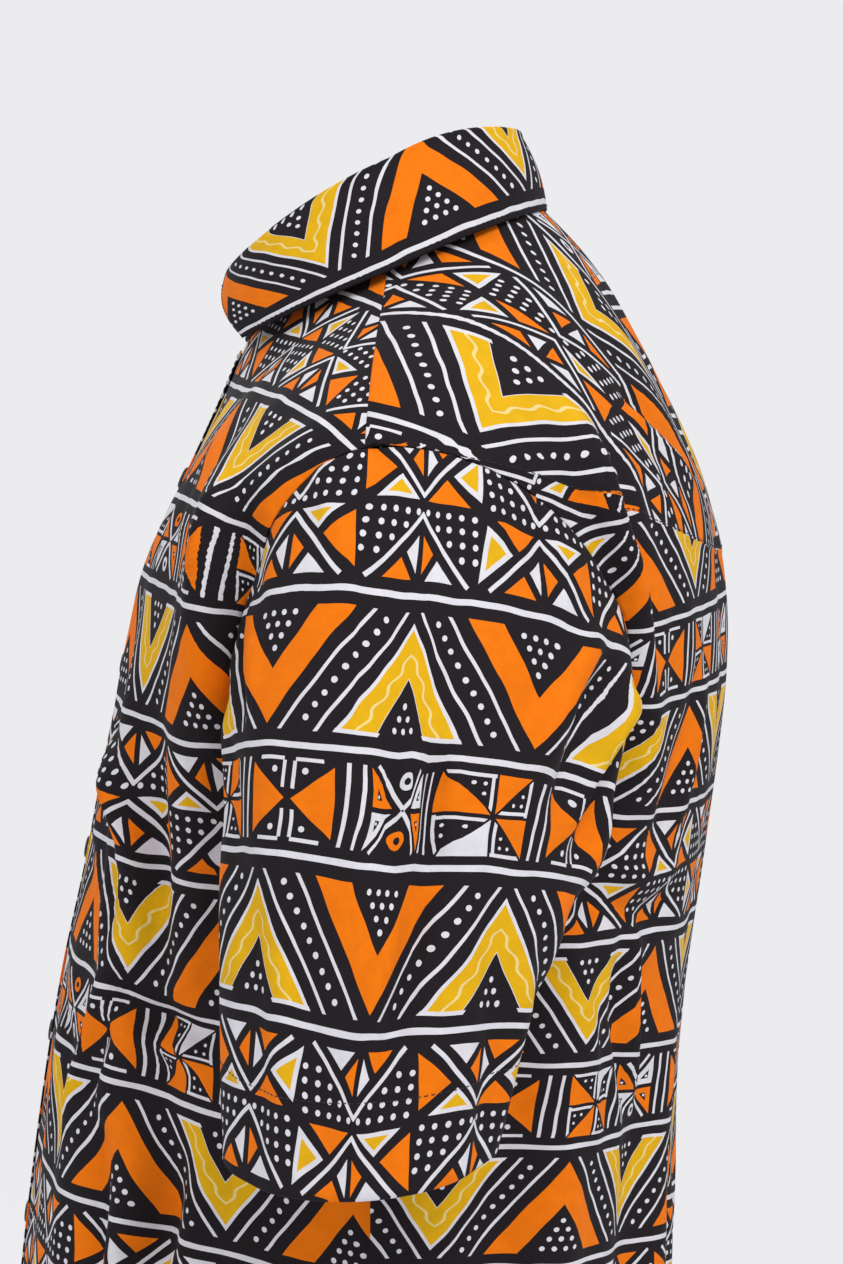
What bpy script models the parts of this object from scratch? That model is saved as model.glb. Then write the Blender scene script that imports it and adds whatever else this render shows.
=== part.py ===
"""A short-sleeved print shirt, worn and buttoned up, built from the pieces that its maker cuts and sews.

Metres, +Z up. The wearer faces -Y, and the wearer's left is +X. The origin is in the middle of the neck opening,
where the shoulders carry the shirt. Angles go round the body from the centre front (0) by the wearer's left (90)
to the centre back (180), and are negative on the wearer's right.
"""

import math

import bmesh
import bpy
from mathutils import Vector

# Cloth and seams
CLOTH = 0.0012
COLLAR_CLOTH = 0.0016
SEAM_GAP = 0.0005
LAYER_GAP = 0.0004
ARMHOLE_GAP = 0.0008

# Front opening: the left front laps over the right one
BAND_WIDTH = 0.035
UNDERLAP_START = 0.006
UNDERLAP_BLEND = 0.040
STAND_LAP_ANGLE = 10.0
STAND_SINK_START = 312.0
STAND_SINK_ANGLE = 35.0
BAND_TOP_ROW = 0.22

# Buttons
BUTTON_RADIUS = 0.00575
BUTTON_HEIGHT = 0.0022
BUTTON_RIM = 0.0010
BUTTON_DISH = 0.0006
BUTTON_FOOT_SHARE = 0.8
BUTTON_LIFT = 0.0003
COLLAR_BUTTON_LIFT = 0.0007
BUTTON_SIDES = 16
FIRST_BUTTON_Z = -0.095
BUTTON_SPACING = 0.092
BAND_BUTTONS = 6

# Rows and columns of the walls
SHOULDER_ROWS = 5
ARMHOLE_ROWS = 12
SKIRT_ROWS = 10
BAND_COLUMNS = 3
FRONT_COLUMNS = 13
BACK_COLUMNS = 32
SLEEVE_ROWS = 12
SLEEVE_ROW_SPREAD = 1.15
COLLAR_COLUMNS = 34
STAND_ROWS = 4
FALL_ROWS = 5

# Where the shoulder point and the armpit lie in BODY_SECTIONS, counted from 0 at the neck seam
SHOULDER_ROW = 4
ARMPIT_ROW = 8

# How far the armhole bites into the front and the back, in degrees, and how round its ends are
ARMHOLE_FRONT_BITE = 27.0
ARMHOLE_BACK_BITE = 46.0
ARMHOLE_ROUNDNESS = 0.50

# A ring round the body or the collar: an oval in plan that rises and falls from front to side to back
RING_COLUMNS = ("half_width", "front_y", "back_y", "front_z", "side_z", "back_z", "squareness")

# The worn body of the shirt, a ring for each row from the neck seam down to the hem
BODY_SECTIONS = [
    (0.0700, -0.0760, 0.0625, -0.0280, 0.0180, 0.0455, 2.0),  # neck seam
    (0.1020, -0.0855, 0.0890, -0.0520, -0.0050, 0.0170, 2.0),
    (0.1450, -0.0970, 0.1120, -0.0780, -0.0240, -0.0170, 2.0),
    (0.1850, -0.1105, 0.1360, -0.1070, -0.0470, -0.0630, 2.0),
    (0.2150, -0.1245, 0.1535, -0.1400, -0.0760, -0.1080, 2.0),  # shoulder point
    (0.2220, -0.1325, 0.1600, -0.1740, -0.1120, -0.1500, 2.0),
    (0.2200, -0.1395, 0.1605, -0.2080, -0.1580, -0.1900, 2.05),
    (0.2100, -0.1465, 0.1570, -0.2420, -0.2120, -0.2290, 2.1),
    (0.1960, -0.1545, 0.1510, -0.2850, -0.2680, -0.2740, 2.2),  # armpit
    (0.1915, -0.1665, 0.1430, -0.3400, -0.3350, -0.3350, 2.3),
    (0.1900, -0.1770, 0.1370, -0.4050, -0.4050, -0.4050, 2.35),
    (0.1900, -0.1875, 0.1315, -0.4900, -0.4900, -0.4900, 2.4),
    (0.1930, -0.1985, 0.1270, -0.6100, -0.6100, -0.6100, 2.4),
    (0.1970, -0.2040, 0.1265, -0.7450, -0.7450, -0.7450, 2.4),  # hem
]

# The body's large folds, ridges (+) and troughs (-): a fold swells to its peak row and dies away at its end row,
# and one that ends past the hem still stands there
FOLD_COLUMNS = ("start_angle", "end_angle", "start_row", "peak_row", "end_row", "width_angle", "depth")
BODY_FOLDS = [
    (54, 57, 2.6, 5.0, 9.5, 5.5, 0.0120),  # drape in front of the left armhole
    (66, 68, 3.8, 6.2, 10.0, 4.8, -0.0110),
    (29, 60, 4.6, 7.6, 16.0, 5.8, 0.0100),  # long fold from the chest down to the left side
    (39, 71, 5.6, 8.2, 16.0, 5.2, -0.0095),
    (36, 42, 8.6, 10.6, 16.0, 5.0, 0.0050),
    (48, 51, 8.4, 10.4, 16.0, 5.0, -0.0060),
    (13, 17, 8.0, 12.0, 20.0, 6.0, -0.0050),
    (130, 146, 2.4, 5.6, 9.0, 5.2, 0.0110),  # drape behind the left armhole
    (134, 131, 4.2, 6.4, 9.5, 5.0, -0.0110),
    (113, 112, 7.0, 9.5, 16.0, 7.0, -0.0080),
    (126, 127, 7.2, 9.6, 16.0, 6.0, 0.0070),
    (149, 151, 6.6, 9.8, 18.0, 6.0, -0.0055),
    (160, 164, 7.4, 11.0, 18.0, 7.0, 0.0060),
    (176, 179, 7.0, 12.0, 20.0, 7.0, -0.0050),
    (-53, -56, 2.8, 5.2, 9.8, 6.0, 0.0090),  # the wearer's right side
    (-66, -67, 4.0, 6.2, 10.2, 5.0, -0.0080),
    (-31, -52, 5.0, 8.2, 16.0, 6.5, 0.0075),
    (-42, -64, 6.0, 8.8, 16.0, 5.5, -0.0075),
    (-18, -21, 7.6, 11.4, 18.0, 6.0, 0.0050),
    (-131, -145, 2.6, 5.8, 9.2, 5.5, 0.0085),
    (-134, -132, 4.4, 6.6, 9.8, 5.0, -0.0085),
    (-115, -113, 7.2, 9.8, 16.0, 7.0, -0.0075),
    (-128, -130, 7.4, 9.8, 16.0, 6.0, 0.0070),
    (-152, -149, 7.0, 10.4, 18.0, 6.5, -0.0060),
    (-164, -166, 7.8, 11.4, 18.0, 7.0, 0.0055),
]

# The cuff of the left sleeve: an oval that dips outwards
CUFF_CENTRE = Vector((0.2620, 0.0010, -0.3890))
CUFF_HALF_WIDTH = 0.058
CUFF_HALF_DEPTH = 0.061
CUFF_OUTWARD_DIP = 0.013
CUFF_FRONT_RISE = -0.002

# How the sleeve leaves the armhole and reaches the cuff, as directions times lengths
LEAVE_TOP = Vector((0.170, 0.000, -0.160))
LEAVE_UNDER = Vector((0.050, 0.000, -0.115))
LEAVE_FRONT = Vector((0.020, -0.022, -0.020))
LEAVE_BACK = Vector((0.020, 0.042, -0.020))
REACH_TOP = Vector((0.035, -0.015, -0.260))
REACH_UNDER = Vector((0.000, -0.006, -0.110))
REACH_FRONT = Vector((0.000, 0.010, -0.040))
REACH_BACK = Vector((0.000, -0.030, -0.060))

# The sleeves' large folds: angle round the sleeve (0 outside, 90 front, 180 under, 270 back), share of its length
SLEEVE_FOLD_COLUMNS = ("start_angle", "end_angle", "start", "end", "width_angle", "depth")
SLEEVE_FOLDS = [
    (-4, 0, 0.30, 1.05, 12, 0.0035),  # pressed crease down the outside
    (262, 300, 0.18, 0.62, 13, -0.0075),  # drape behind the armpit
    (286, 262, 0.10, 0.50, 12, 0.0050),
    (100, 62, 0.15, 0.60, 13, -0.0060),  # drape before the armpit
    (238, 248, 0.35, 1.05, 15, -0.0050),
    (60, 52, 0.45, 1.05, 14, -0.0030),
]

# The collar stand, a ring for each of its rows from the neck seam up
STAND_RINGS = [
    (0.0700, -0.0766, 0.0625, -0.0272, 0.0188, 0.0463, 2.0),
    (0.0672, -0.0800, 0.0597, -0.0115, 0.0380, 0.0600, 2.0),
    (0.0655, -0.0832, 0.0570, 0.0030, 0.0555, 0.0715, 2.0),
]
# The outer edge of the collar's fall
FALL_EDGE = (0.0965, -0.0885, 0.0725, -0.0320, 0.0060, 0.0380, 2.0)
# The roll of the fall over the stand, as steps (out, up) from the stand's top edge
ROLL_STEPS = [(-0.0016, 0.0010), (-0.0016, 0.0038), (0.0004, 0.0056), (0.0026, 0.0046), (0.0040, 0.0012)]
FALL_BULGE = 0.0022
FALL_START_ANGLE = 3.5
POINT_ANGLE = 34.0

# Colours as linear RGB
PRINT_BLACK = (0.018, 0.016, 0.020, 1.0)
PRINT_ORANGE = (0.90, 0.22, 0.02, 1.0)
BUTTON_BLACK = (0.02, 0.02, 0.022, 1.0)


def smooth(share):
    """0 to 1 with level ends."""
    share = min(1.0, max(0.0, share))
    return share * share * (3 - 2 * share)


def mix(a, b, share):
    return a + (b - a) * share


def through(values, place):
    """The smooth curve through evenly spaced values, at a place counted from the first one."""
    last = len(values) - 1
    place = min(float(last), max(0.0, place))
    i = min(last - 1, int(place))
    t = place - i
    before = values[i - 1] if i > 0 else 2 * values[0] - values[1]
    after = values[i + 2] if i + 2 <= last else 2 * values[last] - values[last - 1]
    a, b = values[i], values[i + 1]
    return 0.5 * (
        2 * a
        + (b - before) * t
        + (2 * before - 5 * a + 4 * b - after) * t**2
        + (3 * a - before - 3 * b + after) * t**3
    )


def ring_at(rings, place):
    """A ring's named sizes at a place among the rows of a table of rings."""
    return {
        column: through([row[i] for row in rings], place)
        for i, column in enumerate(RING_COLUMNS)
    }


def ring_point(ring, angle):
    """A point of a ring: an oval in plan that rises and falls from front to side to back."""
    across = math.sin(math.radians(angle))
    along = math.cos(math.radians(angle))
    power = 2.0 / ring["squareness"]
    end_y = ring["front_y"] if along > 0 else ring["back_y"]
    tilt = (ring["front_z"] - ring["back_z"]) / 2
    bow = (ring["front_z"] + ring["back_z"]) / 2 - ring["side_z"]
    return Vector(
        (
            math.copysign(abs(across) ** power, across) * ring["half_width"],
            abs(along) ** power * end_y,
            ring["side_z"] + tilt * along + bow * along**2,
        )
    )


def fold_depth(angle, row):
    """How far the folds lift the cloth at this place, in metres."""
    depth = 0.0
    for values in BODY_FOLDS:
        fold = dict(zip(FOLD_COLUMNS, values))
        start, peak, end = fold["start_row"], fold["peak_row"], fold["end_row"]
        if not start < row < end:
            continue
        swell = smooth((row - start) / (peak - start)) * smooth((end - row) / (end - peak))
        length = min(end, len(BODY_SECTIONS) - 1) - start
        centre = mix(fold["start_angle"], fold["end_angle"], (row - start) / length)
        away = (angle - centre + 180) % 360 - 180
        depth += fold["depth"] * swell * math.exp(-((away / fold["width_angle"]) ** 2))
    return depth


def body_base(angle, row):
    return ring_point(ring_at(BODY_SECTIONS, row), angle)


def body_normal(angle, row):
    """The way out of the body's surface, before its folds."""
    step = 0.02
    low, high = max(0.0, row - step), min(len(BODY_SECTIONS) - 1.0, row + step)
    round_it = body_base(angle + 0.5, row) - body_base(angle - 0.5, row)
    down = body_base(angle, high) - body_base(angle, low)
    return down.cross(round_it).normalized()


def body_point(angle, row, lift=0.0):
    """A point of the worn body, folds and all, lifted off its surface."""
    return body_base(angle, row) + body_normal(angle, row) * (fold_depth(angle, row) + lift)


def armhole_angle(row, bite):
    """How far round from the centre front, or back, a panel with this bite reaches at this row."""
    share = (row - SHOULDER_ROW) / (ARMPIT_ROW - SHOULDER_ROW)
    if not 0 < share < 1:
        return 90.0
    return 90.0 - bite * math.sin(math.pi * share) ** ARMHOLE_ROUNDNESS


def panel_lines():
    """A panel's lines from the neck seam to the hem: each one's row at the centre and at the side.

    The lines are evenly spaced at the centre. At the armhole they crowd towards its ends, so that they meet its
    curve evenly.
    """
    hem = len(BODY_SECTIONS) - 1
    armhole = ARMPIT_ROW - SHOULDER_ROW
    lines = []
    for i in range(SHOULDER_ROWS):
        row = SHOULDER_ROW * i / SHOULDER_ROWS
        lines.append((row, row))
    for i in range(ARMHOLE_ROWS + 1):
        share = i / ARMHOLE_ROWS
        crowded = (1 - math.cos(math.pi * share)) / 2
        lines.append((SHOULDER_ROW + armhole * share, SHOULDER_ROW + armhole * crowded))
    for i in range(1, SKIRT_ROWS + 1):
        row = mix(ARMPIT_ROW, hem, i / SKIRT_ROWS)
        lines.append((row, row))
    return lines


def angle_at_x(row, x):
    """How far round from the centre front a point x metres from it lies."""
    ring = ring_at(BODY_SECTIONS, row)
    return math.degrees(math.asin((x / ring["half_width"]) ** (ring["squareness"] / 2)))


def side_angle(row, bite):
    """Where a panel ends at this row: at the armhole, or half a seam's gap short of the side."""
    angle = armhole_angle(row, bite)
    if angle < 90.0:
        return angle
    ring = ring_at(BODY_SECTIONS, row)
    depth = (ring["back_y"] - ring["front_y"]) / 2
    share = (SEAM_GAP / 2 / depth) ** (ring["squareness"] / 2)
    return angle - math.degrees(math.asin(share))


def half_line(line, bite, columns):
    """The places (angle, row) of one line from the centre to the side, in this many steps."""
    centre_row, side_row = line
    side = side_angle(side_row, bite)
    return [
        (side * i / columns, mix(centre_row, side_row, (i / columns) ** 2))
        for i in range(columns + 1)
    ]


def front_places(line):
    """The places of a left front's line: across its band first, then on to the side."""
    centre_row, side_row = line
    band = angle_at_x(centre_row, BAND_WIDTH / 2)
    side = side_angle(side_row, ARMHOLE_FRONT_BITE)
    places = [(mix(-band, band, i / BAND_COLUMNS), centre_row) for i in range(BAND_COLUMNS)]
    for i in range(FRONT_COLUMNS + 1):
        share = i / FRONT_COLUMNS
        places.append((mix(band, side, share), mix(centre_row, side_row, share**2)))
    return places


def left_front_line(line, lift=0.0):
    return [body_point(angle, row, lift) for angle, row in front_places(line)]


def right_front_line(line):
    """A right front's line: it sinks by a layer before it passes under the left front."""
    points = []
    for angle, row in reversed(front_places(line)):
        before_band = body_base(angle, row).x - BAND_WIDTH / 2
        sink = smooth(1 - (before_band - UNDERLAP_START) / UNDERLAP_BLEND)
        points.append(body_point(-angle, row, -(CLOTH + LAYER_GAP) * sink))
    return points


def back_line(line):
    """A back's line, from the wearer's left side to the right."""
    half = half_line(line, ARMHOLE_BACK_BITE, BACK_COLUMNS // 2)
    places = [(180 - angle, row) for angle, row in reversed(half)]
    places += [(180 + angle, row) for angle, row in half[1:]]
    return [body_point(angle, row) for angle, row in places]


def armhole_point(angle, side):
    """A point of an armhole, as on the left: 0 at the shoulder point, 90 in front, 180 at the armpit, 270 behind.

    side is 1 for the wearer's left and -1 for the right, whose folds differ.
    """
    angle %= 360
    front = angle <= 180
    share = (angle if front else 360 - angle) / 180
    row = mix(SHOULDER_ROW, ARMPIT_ROW, (1 - math.cos(math.pi * share)) / 2)
    bite = ARMHOLE_FRONT_BITE if front else ARMHOLE_BACK_BITE
    edge = armhole_angle(row, bite)
    point = body_point(side * (edge if front else 180 - edge), row)
    return Vector((side * point.x, point.y, point.z))


def cuff_point(angle):
    out, front = math.cos(math.radians(angle)), math.sin(math.radians(angle))
    rise = CUFF_FRONT_RISE * front - CUFF_OUTWARD_DIP * out
    return CUFF_CENTRE + Vector((CUFF_HALF_WIDTH * out, -CUFF_HALF_DEPTH * front, rise))


def by_quarter(angle, top, under, front, back):
    """One of four vectors, blended round the sleeve."""
    out, ahead = math.cos(math.radians(angle)), math.sin(math.radians(angle))
    side = front if ahead > 0 else back
    return top * (1 + out) / 2 + under * (1 - out) / 2 + side * ahead**2


def sleeve_base(angle, along, side):
    """A point of a sleeve, as on the left, before its folds: along is 0 at the armhole and 1 at the cuff."""
    start, end = armhole_point(angle, side), cuff_point(angle)
    leave = by_quarter(angle, LEAVE_TOP, LEAVE_UNDER, LEAVE_FRONT, LEAVE_BACK)
    reach = by_quarter(angle, REACH_TOP, REACH_UNDER, REACH_FRONT, REACH_BACK)
    start = start + leave.normalized() * ARMHOLE_GAP
    square, cube = along**2, along**3
    return (
        start * (2 * cube - 3 * square + 1)
        + leave * (cube - 2 * square + along)
        + end * (3 * square - 2 * cube)
        + reach * (cube - square)
    )


def sleeve_fold_depth(angle, along):
    depth = 0.0
    for values in SLEEVE_FOLDS:
        fold = dict(zip(SLEEVE_FOLD_COLUMNS, values))
        length = fold["end"] - fold["start"]
        share = (along - fold["start"]) / length
        if not 0 < share < 1:
            continue
        open_ended = fold["end"] > 1
        swell = smooth(share * 3) if open_ended else math.sin(math.pi * share)
        centre = mix(fold["start_angle"], fold["end_angle"], share)
        away = (angle - centre + 180) % 360 - 180
        depth += fold["depth"] * swell * math.exp(-((away / fold["width_angle"]) ** 2))
    return depth


def sleeve_point(angle, along, side):
    """A point of a sleeve, as on the left, folds and all."""
    step = 0.01
    low, high = max(0.0, along - step), min(1.0, along + step)
    round_it = sleeve_base(angle + 1, along, side) - sleeve_base(angle - 1, along, side)
    down = sleeve_base(angle, high, side) - sleeve_base(angle, low, side)
    out = round_it.cross(down).normalized()
    return sleeve_base(angle, along, side) + out * sleeve_fold_depth(angle, along)


def sleeve_rings(side):
    """A sleeve's rings from the armhole to the cuff, on the same columns as the armhole's lines."""
    angles = [180 * i / ARMHOLE_ROWS for i in range(2 * ARMHOLE_ROWS)]
    rings = []
    for i in range(SLEEVE_ROWS + 1):
        along = (i / SLEEVE_ROWS) ** SLEEVE_ROW_SPREAD
        ring = [sleeve_point(angle, along, side) for angle in angles]
        rings.append([Vector((side * p.x, p.y, p.z)) for p in ring])
    return rings


def stand_rows():
    """The collar stand's rows, top edge first: its left end laps over its right end."""
    rows = []
    for i in range(STAND_ROWS + 1):
        ring = ring_at(STAND_RINGS, mix(len(STAND_RINGS) - 1, 0, i / STAND_ROWS))
        row = []
        for j in range(COLLAR_COLUMNS + 1):
            angle = mix(-STAND_LAP_ANGLE, 360 + STAND_LAP_ANGLE, j / COLLAR_COLUMNS)
            sink = smooth((angle - STAND_SINK_START) / STAND_SINK_ANGLE) * (COLLAR_CLOTH + LAYER_GAP)
            point = ring_point(ring, angle)
            inward = Vector((-point.x, -point.y, 0)).normalized()
            row.append(point + inward * sink)
        rows.append(row)
    return rows


def moved_ring(ring, out, up):
    """A ring grown outwards and raised."""
    moved = dict(ring)
    moved["half_width"] += out
    moved["front_y"] -= out
    moved["back_y"] += out
    for name in ("front_z", "side_z", "back_z"):
        moved[name] += up
    return moved


def fall_rows():
    """The collar fall's rows: up from the stand's top edge, over the roll and down to its outer edge."""
    top = ring_at(STAND_RINGS, len(STAND_RINGS) - 1)
    edge = dict(zip(RING_COLUMNS, FALL_EDGE))
    rings = [moved_ring(top, out, up) for out, up in ROLL_STEPS]
    over = rings[-1]
    for i in range(1, FALL_ROWS + 1):
        share = i / FALL_ROWS
        ring = {name: mix(over[name], edge[name], share) for name in over}
        rings.append(moved_ring(ring, FALL_BULGE * math.sin(math.pi * share), 0.0))
    rows = []
    for i, ring in enumerate(rings):
        share = max(0.0, (i - len(ROLL_STEPS) + 1) / FALL_ROWS)
        start = mix(FALL_START_ANGLE, POINT_ANGLE, share)
        angles = [mix(start, 360 - start, j / COLLAR_COLUMNS) for j in range(COLLAR_COLUMNS + 1)]
        rows.append([ring_point(ring, angle) for angle in angles])
    return rows


def material(name, colour, roughness):
    made = bpy.data.materials.new(name)
    made.use_nodes = True
    shader = made.node_tree.nodes["Principled BSDF"]
    shader.inputs["Base Color"].default_value = colour
    shader.inputs["Roughness"].default_value = roughness
    shader.inputs["Metallic"].default_value = 0.0
    return made


def loft(name, rows, closed, inside_out=False):
    """A surface through rows of points. Its faces look out where the columns go round by the left and the rows
    go down."""
    surface = bmesh.new()
    grid = [[surface.verts.new(point) for point in row] for row in rows]
    count = len(grid[0])
    for upper, lower in zip(grid, grid[1:]):
        for j in range(count if closed else count - 1):
            k = (j + 1) % count
            face = [lower[j], lower[k], upper[k], upper[j]]
            surface.faces.new(face[::-1] if inside_out else face)
    mesh = bpy.data.meshes.new(name)
    surface.to_mesh(mesh)
    surface.free()
    mesh.shade_smooth()
    return mesh


def cloth_wall(name, rows, finish, collection, thickness=CLOTH, closed=False, inside_out=False):
    """A cloth piece: the surface through these rows, thickened on its inner side."""
    piece = bpy.data.objects.new(name, loft(name, rows, closed, inside_out))
    piece.data.materials.append(finish)
    collection.objects.link(piece)
    wall = piece.modifiers.new("Cloth", "SOLIDIFY")
    wall.thickness = thickness
    wall.offset = -1.0
    wall.use_even_offset = True
    return piece


def turned_button(finish):
    """The mesh that the buttons share: a low disc with a raised rim, its underside on its own origin."""
    outline = [
        (0.0, BUTTON_HEIGHT - BUTTON_DISH),
        (BUTTON_RADIUS - BUTTON_RIM - BUTTON_DISH, BUTTON_HEIGHT - BUTTON_DISH),
        (BUTTON_RADIUS - BUTTON_RIM, BUTTON_HEIGHT),
        (BUTTON_RADIUS - BUTTON_RIM / 3, BUTTON_HEIGHT),
        (BUTTON_RADIUS, BUTTON_HEIGHT / 2),
        (BUTTON_RADIUS * BUTTON_FOOT_SHARE, 0.0),
        (0.0, 0.0),
    ]
    profile = bmesh.new()
    points = [profile.verts.new((radius, 0.0, height)) for radius, height in outline]
    for a, b in zip(points, points[1:]):
        profile.edges.new((a, b))
    mesh = bpy.data.meshes.new("button")
    profile.to_mesh(mesh)
    profile.free()
    mesh.materials.append(finish)
    return mesh


def place_button(name, mesh, point, out, collection):
    """A button on its seat, its face turned the way out."""
    button = bpy.data.objects.new(name, mesh)
    collection.objects.link(button)
    turn = button.modifiers.new("Turn", "SCREW")
    turn.steps = turn.render_steps = BUTTON_SIDES
    turn.use_merge_vertices = True
    turn.merge_threshold = 0.00001
    button.rotation_mode = "QUATERNION"
    button.rotation_quaternion = out.to_track_quat("Z", "Y")
    button.location = point
    return button


def seat_on(rows, column, height):
    """The middle of a strip of faces at this height, and the way out of it there."""
    for upper, lower in zip(rows, rows[1:]):
        a, b = upper[column], upper[column + 1]
        c, d = lower[column + 1], lower[column]
        top, bottom = (a + b) / 2, (c + d) / 2
        if top.z >= height >= bottom.z:
            share = (top.z - height) / (top.z - bottom.z)
            out = (d - a).cross(b - a).normalized()
            return top.lerp(bottom, share), out
    raise ValueError(f"no face at height {height}")


def clear_seat(rows, column, height):
    """The seat, lifted until a button's rim is clear of the faces around it."""
    seat, out = seat_on(rows, column, height)
    highest = 0.0
    for offset in (-BUTTON_RADIUS, BUTTON_RADIUS):
        near, _ = seat_on(rows, column, height + offset)
        highest = max(highest, (near - seat).dot(out))
    return seat + out * (highest + BUTTON_LIFT), out


def build_body(print_cloth, collection):
    lines = panel_lines()
    cloth_wall("front_left", [left_front_line(line) for line in lines], print_cloth, collection)
    cloth_wall("front_right", [right_front_line(line) for line in lines], print_cloth, collection)
    cloth_wall("back", [back_line(line) for line in lines], print_cloth, collection)


def build_band(print_cloth, collection):
    """The button band, made from the left front's own points, moved out. Returns its outer rows."""
    lift = CLOTH + LAYER_GAP
    lines = [(BAND_TOP_ROW, BAND_TOP_ROW)] + panel_lines()[1:]
    rows = [left_front_line(line, lift)[: BAND_COLUMNS + 1] for line in lines]
    cloth_wall("front_band", rows, print_cloth, collection)
    return rows


def build_sleeves(print_cloth, collection):
    for name, side in (("sleeve_left", 1), ("sleeve_right", -1)):
        rings = sleeve_rings(side)
        cloth_wall(name, rings, print_cloth, collection, closed=True, inside_out=side > 0)


def build_collar(print_cloth, collection):
    """The stand and the fall. Returns the stand's rows."""
    stand = stand_rows()
    cloth_wall("collar_stand", stand, print_cloth, collection, thickness=COLLAR_CLOTH)
    cloth_wall("collar_fall", fall_rows(), print_cloth, collection, thickness=COLLAR_CLOTH)
    return stand


def build_buttons(band_rows, stand, finish, collection):
    mesh = turned_button(finish)
    middle = BAND_COLUMNS // 2
    for i in range(BAND_BUTTONS):
        seat, out = clear_seat(band_rows, middle, FIRST_BUTTON_Z - i * BUTTON_SPACING)
        place_button(f"button_{i + 1}", mesh, seat, out, collection)
    seat, out = seat_on(stand, 0, (stand[0][0].z + stand[-1][0].z) / 2)
    place_button("button_collar", mesh, seat + out * COLLAR_BUTTON_LIFT, out, collection)


def main():
    for old in list(bpy.data.objects):
        bpy.data.objects.remove(old)
    shirt = bpy.data.collections.new("print_shirt")
    bpy.context.scene.collection.children.link(shirt)
    print_cloth = material("print_cotton", PRINT_BLACK, 0.85)
    horn = material("button_resin", BUTTON_BLACK, 0.35)
    build_body(print_cloth, shirt)
    band_rows = build_band(print_cloth, shirt)
    build_sleeves(print_cloth, shirt)
    stand = build_collar(print_cloth, shirt)
    build_buttons(band_rows, stand, horn, shirt)


main()
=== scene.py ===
"""The looks of a short-sleeved print shirt, worn and buttoned up: cloth, seams, stitching, buttons and print.

Metres, +Z up. The shirt faces -Y, and its left side, as worn, is +X. Angles go round the body from the centre
front (0) by the left side (90) to the centre back (180), and are negative on the right.
"""

import math

import bpy
import numpy as np
from mathutils import Matrix, Vector


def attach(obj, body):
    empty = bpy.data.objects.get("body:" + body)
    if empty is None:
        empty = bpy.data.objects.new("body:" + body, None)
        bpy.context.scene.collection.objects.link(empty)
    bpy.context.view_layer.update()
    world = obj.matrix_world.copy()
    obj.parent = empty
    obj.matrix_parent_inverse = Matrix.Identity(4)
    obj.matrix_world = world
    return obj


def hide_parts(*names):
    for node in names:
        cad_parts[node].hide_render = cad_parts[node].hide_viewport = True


bl_info = {
    "name": "Print Shirt Looks",
    "version": (1, 0, 0),
    "blender": (4, 5, 0),
    "location": "3D View > Sidebar > Shirt",
    "description": "Dresses the packed shirt in printed cotton, with its seams, stitches and buttons",
    "category": "Object",
}

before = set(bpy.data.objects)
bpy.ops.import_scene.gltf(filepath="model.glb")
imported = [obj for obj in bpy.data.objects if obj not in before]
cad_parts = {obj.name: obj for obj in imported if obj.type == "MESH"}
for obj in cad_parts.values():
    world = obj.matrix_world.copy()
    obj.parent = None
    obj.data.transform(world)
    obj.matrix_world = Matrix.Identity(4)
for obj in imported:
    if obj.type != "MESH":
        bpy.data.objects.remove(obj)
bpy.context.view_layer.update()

# The solids' own sizes, in metres
CLOTH = 0.0012
COLLAR_CLOTH = 0.0016
SEAM_GAP = 0.0005
LAYER_GAP = 0.0004
ARMHOLE_GAP = 0.0008
BAND_WIDTH = 0.035
UNDERLAP_START = 0.006
UNDERLAP_BLEND = 0.040
STAND_LAP_ANGLE = 10.0
STAND_SINK_START = 312.0
STAND_SINK_ANGLE = 35.0
BAND_TOP_ROW = 0.22
SHOULDER_ROW = 4
ARMPIT_ROW = 8
ARMHOLE_FRONT_BITE = 27.0
ARMHOLE_BACK_BITE = 46.0
ARMHOLE_ROUNDNESS = 0.50

# A ring round the body or the collar: an oval in plan that rises and falls from front to side to back
RING_COLUMNS = ("half_width", "front_y", "back_y", "front_z", "side_z", "back_z", "squareness")
BODY_SECTIONS = np.array([
    (0.0700, -0.0760, 0.0625, -0.0280, 0.0180, 0.0455, 2.0),  # neck seam
    (0.1020, -0.0855, 0.0890, -0.0520, -0.0050, 0.0170, 2.0),
    (0.1450, -0.0970, 0.1120, -0.0780, -0.0240, -0.0170, 2.0),
    (0.1850, -0.1105, 0.1360, -0.1070, -0.0470, -0.0630, 2.0),
    (0.2150, -0.1245, 0.1535, -0.1400, -0.0760, -0.1080, 2.0),  # shoulder point
    (0.2220, -0.1325, 0.1600, -0.1740, -0.1120, -0.1500, 2.0),
    (0.2200, -0.1395, 0.1605, -0.2080, -0.1580, -0.1900, 2.05),
    (0.2100, -0.1465, 0.1570, -0.2420, -0.2120, -0.2290, 2.1),
    (0.1960, -0.1545, 0.1510, -0.2850, -0.2680, -0.2740, 2.2),  # armpit
    (0.1915, -0.1665, 0.1430, -0.3400, -0.3350, -0.3350, 2.3),
    (0.1900, -0.1770, 0.1370, -0.4050, -0.4050, -0.4050, 2.35),
    (0.1900, -0.1875, 0.1315, -0.4900, -0.4900, -0.4900, 2.4),
    (0.1930, -0.1985, 0.1270, -0.6100, -0.6100, -0.6100, 2.4),
    (0.1970, -0.2040, 0.1265, -0.7450, -0.7450, -0.7450, 2.4),  # hem
])
HEM_ROW = len(BODY_SECTIONS) - 1

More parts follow.
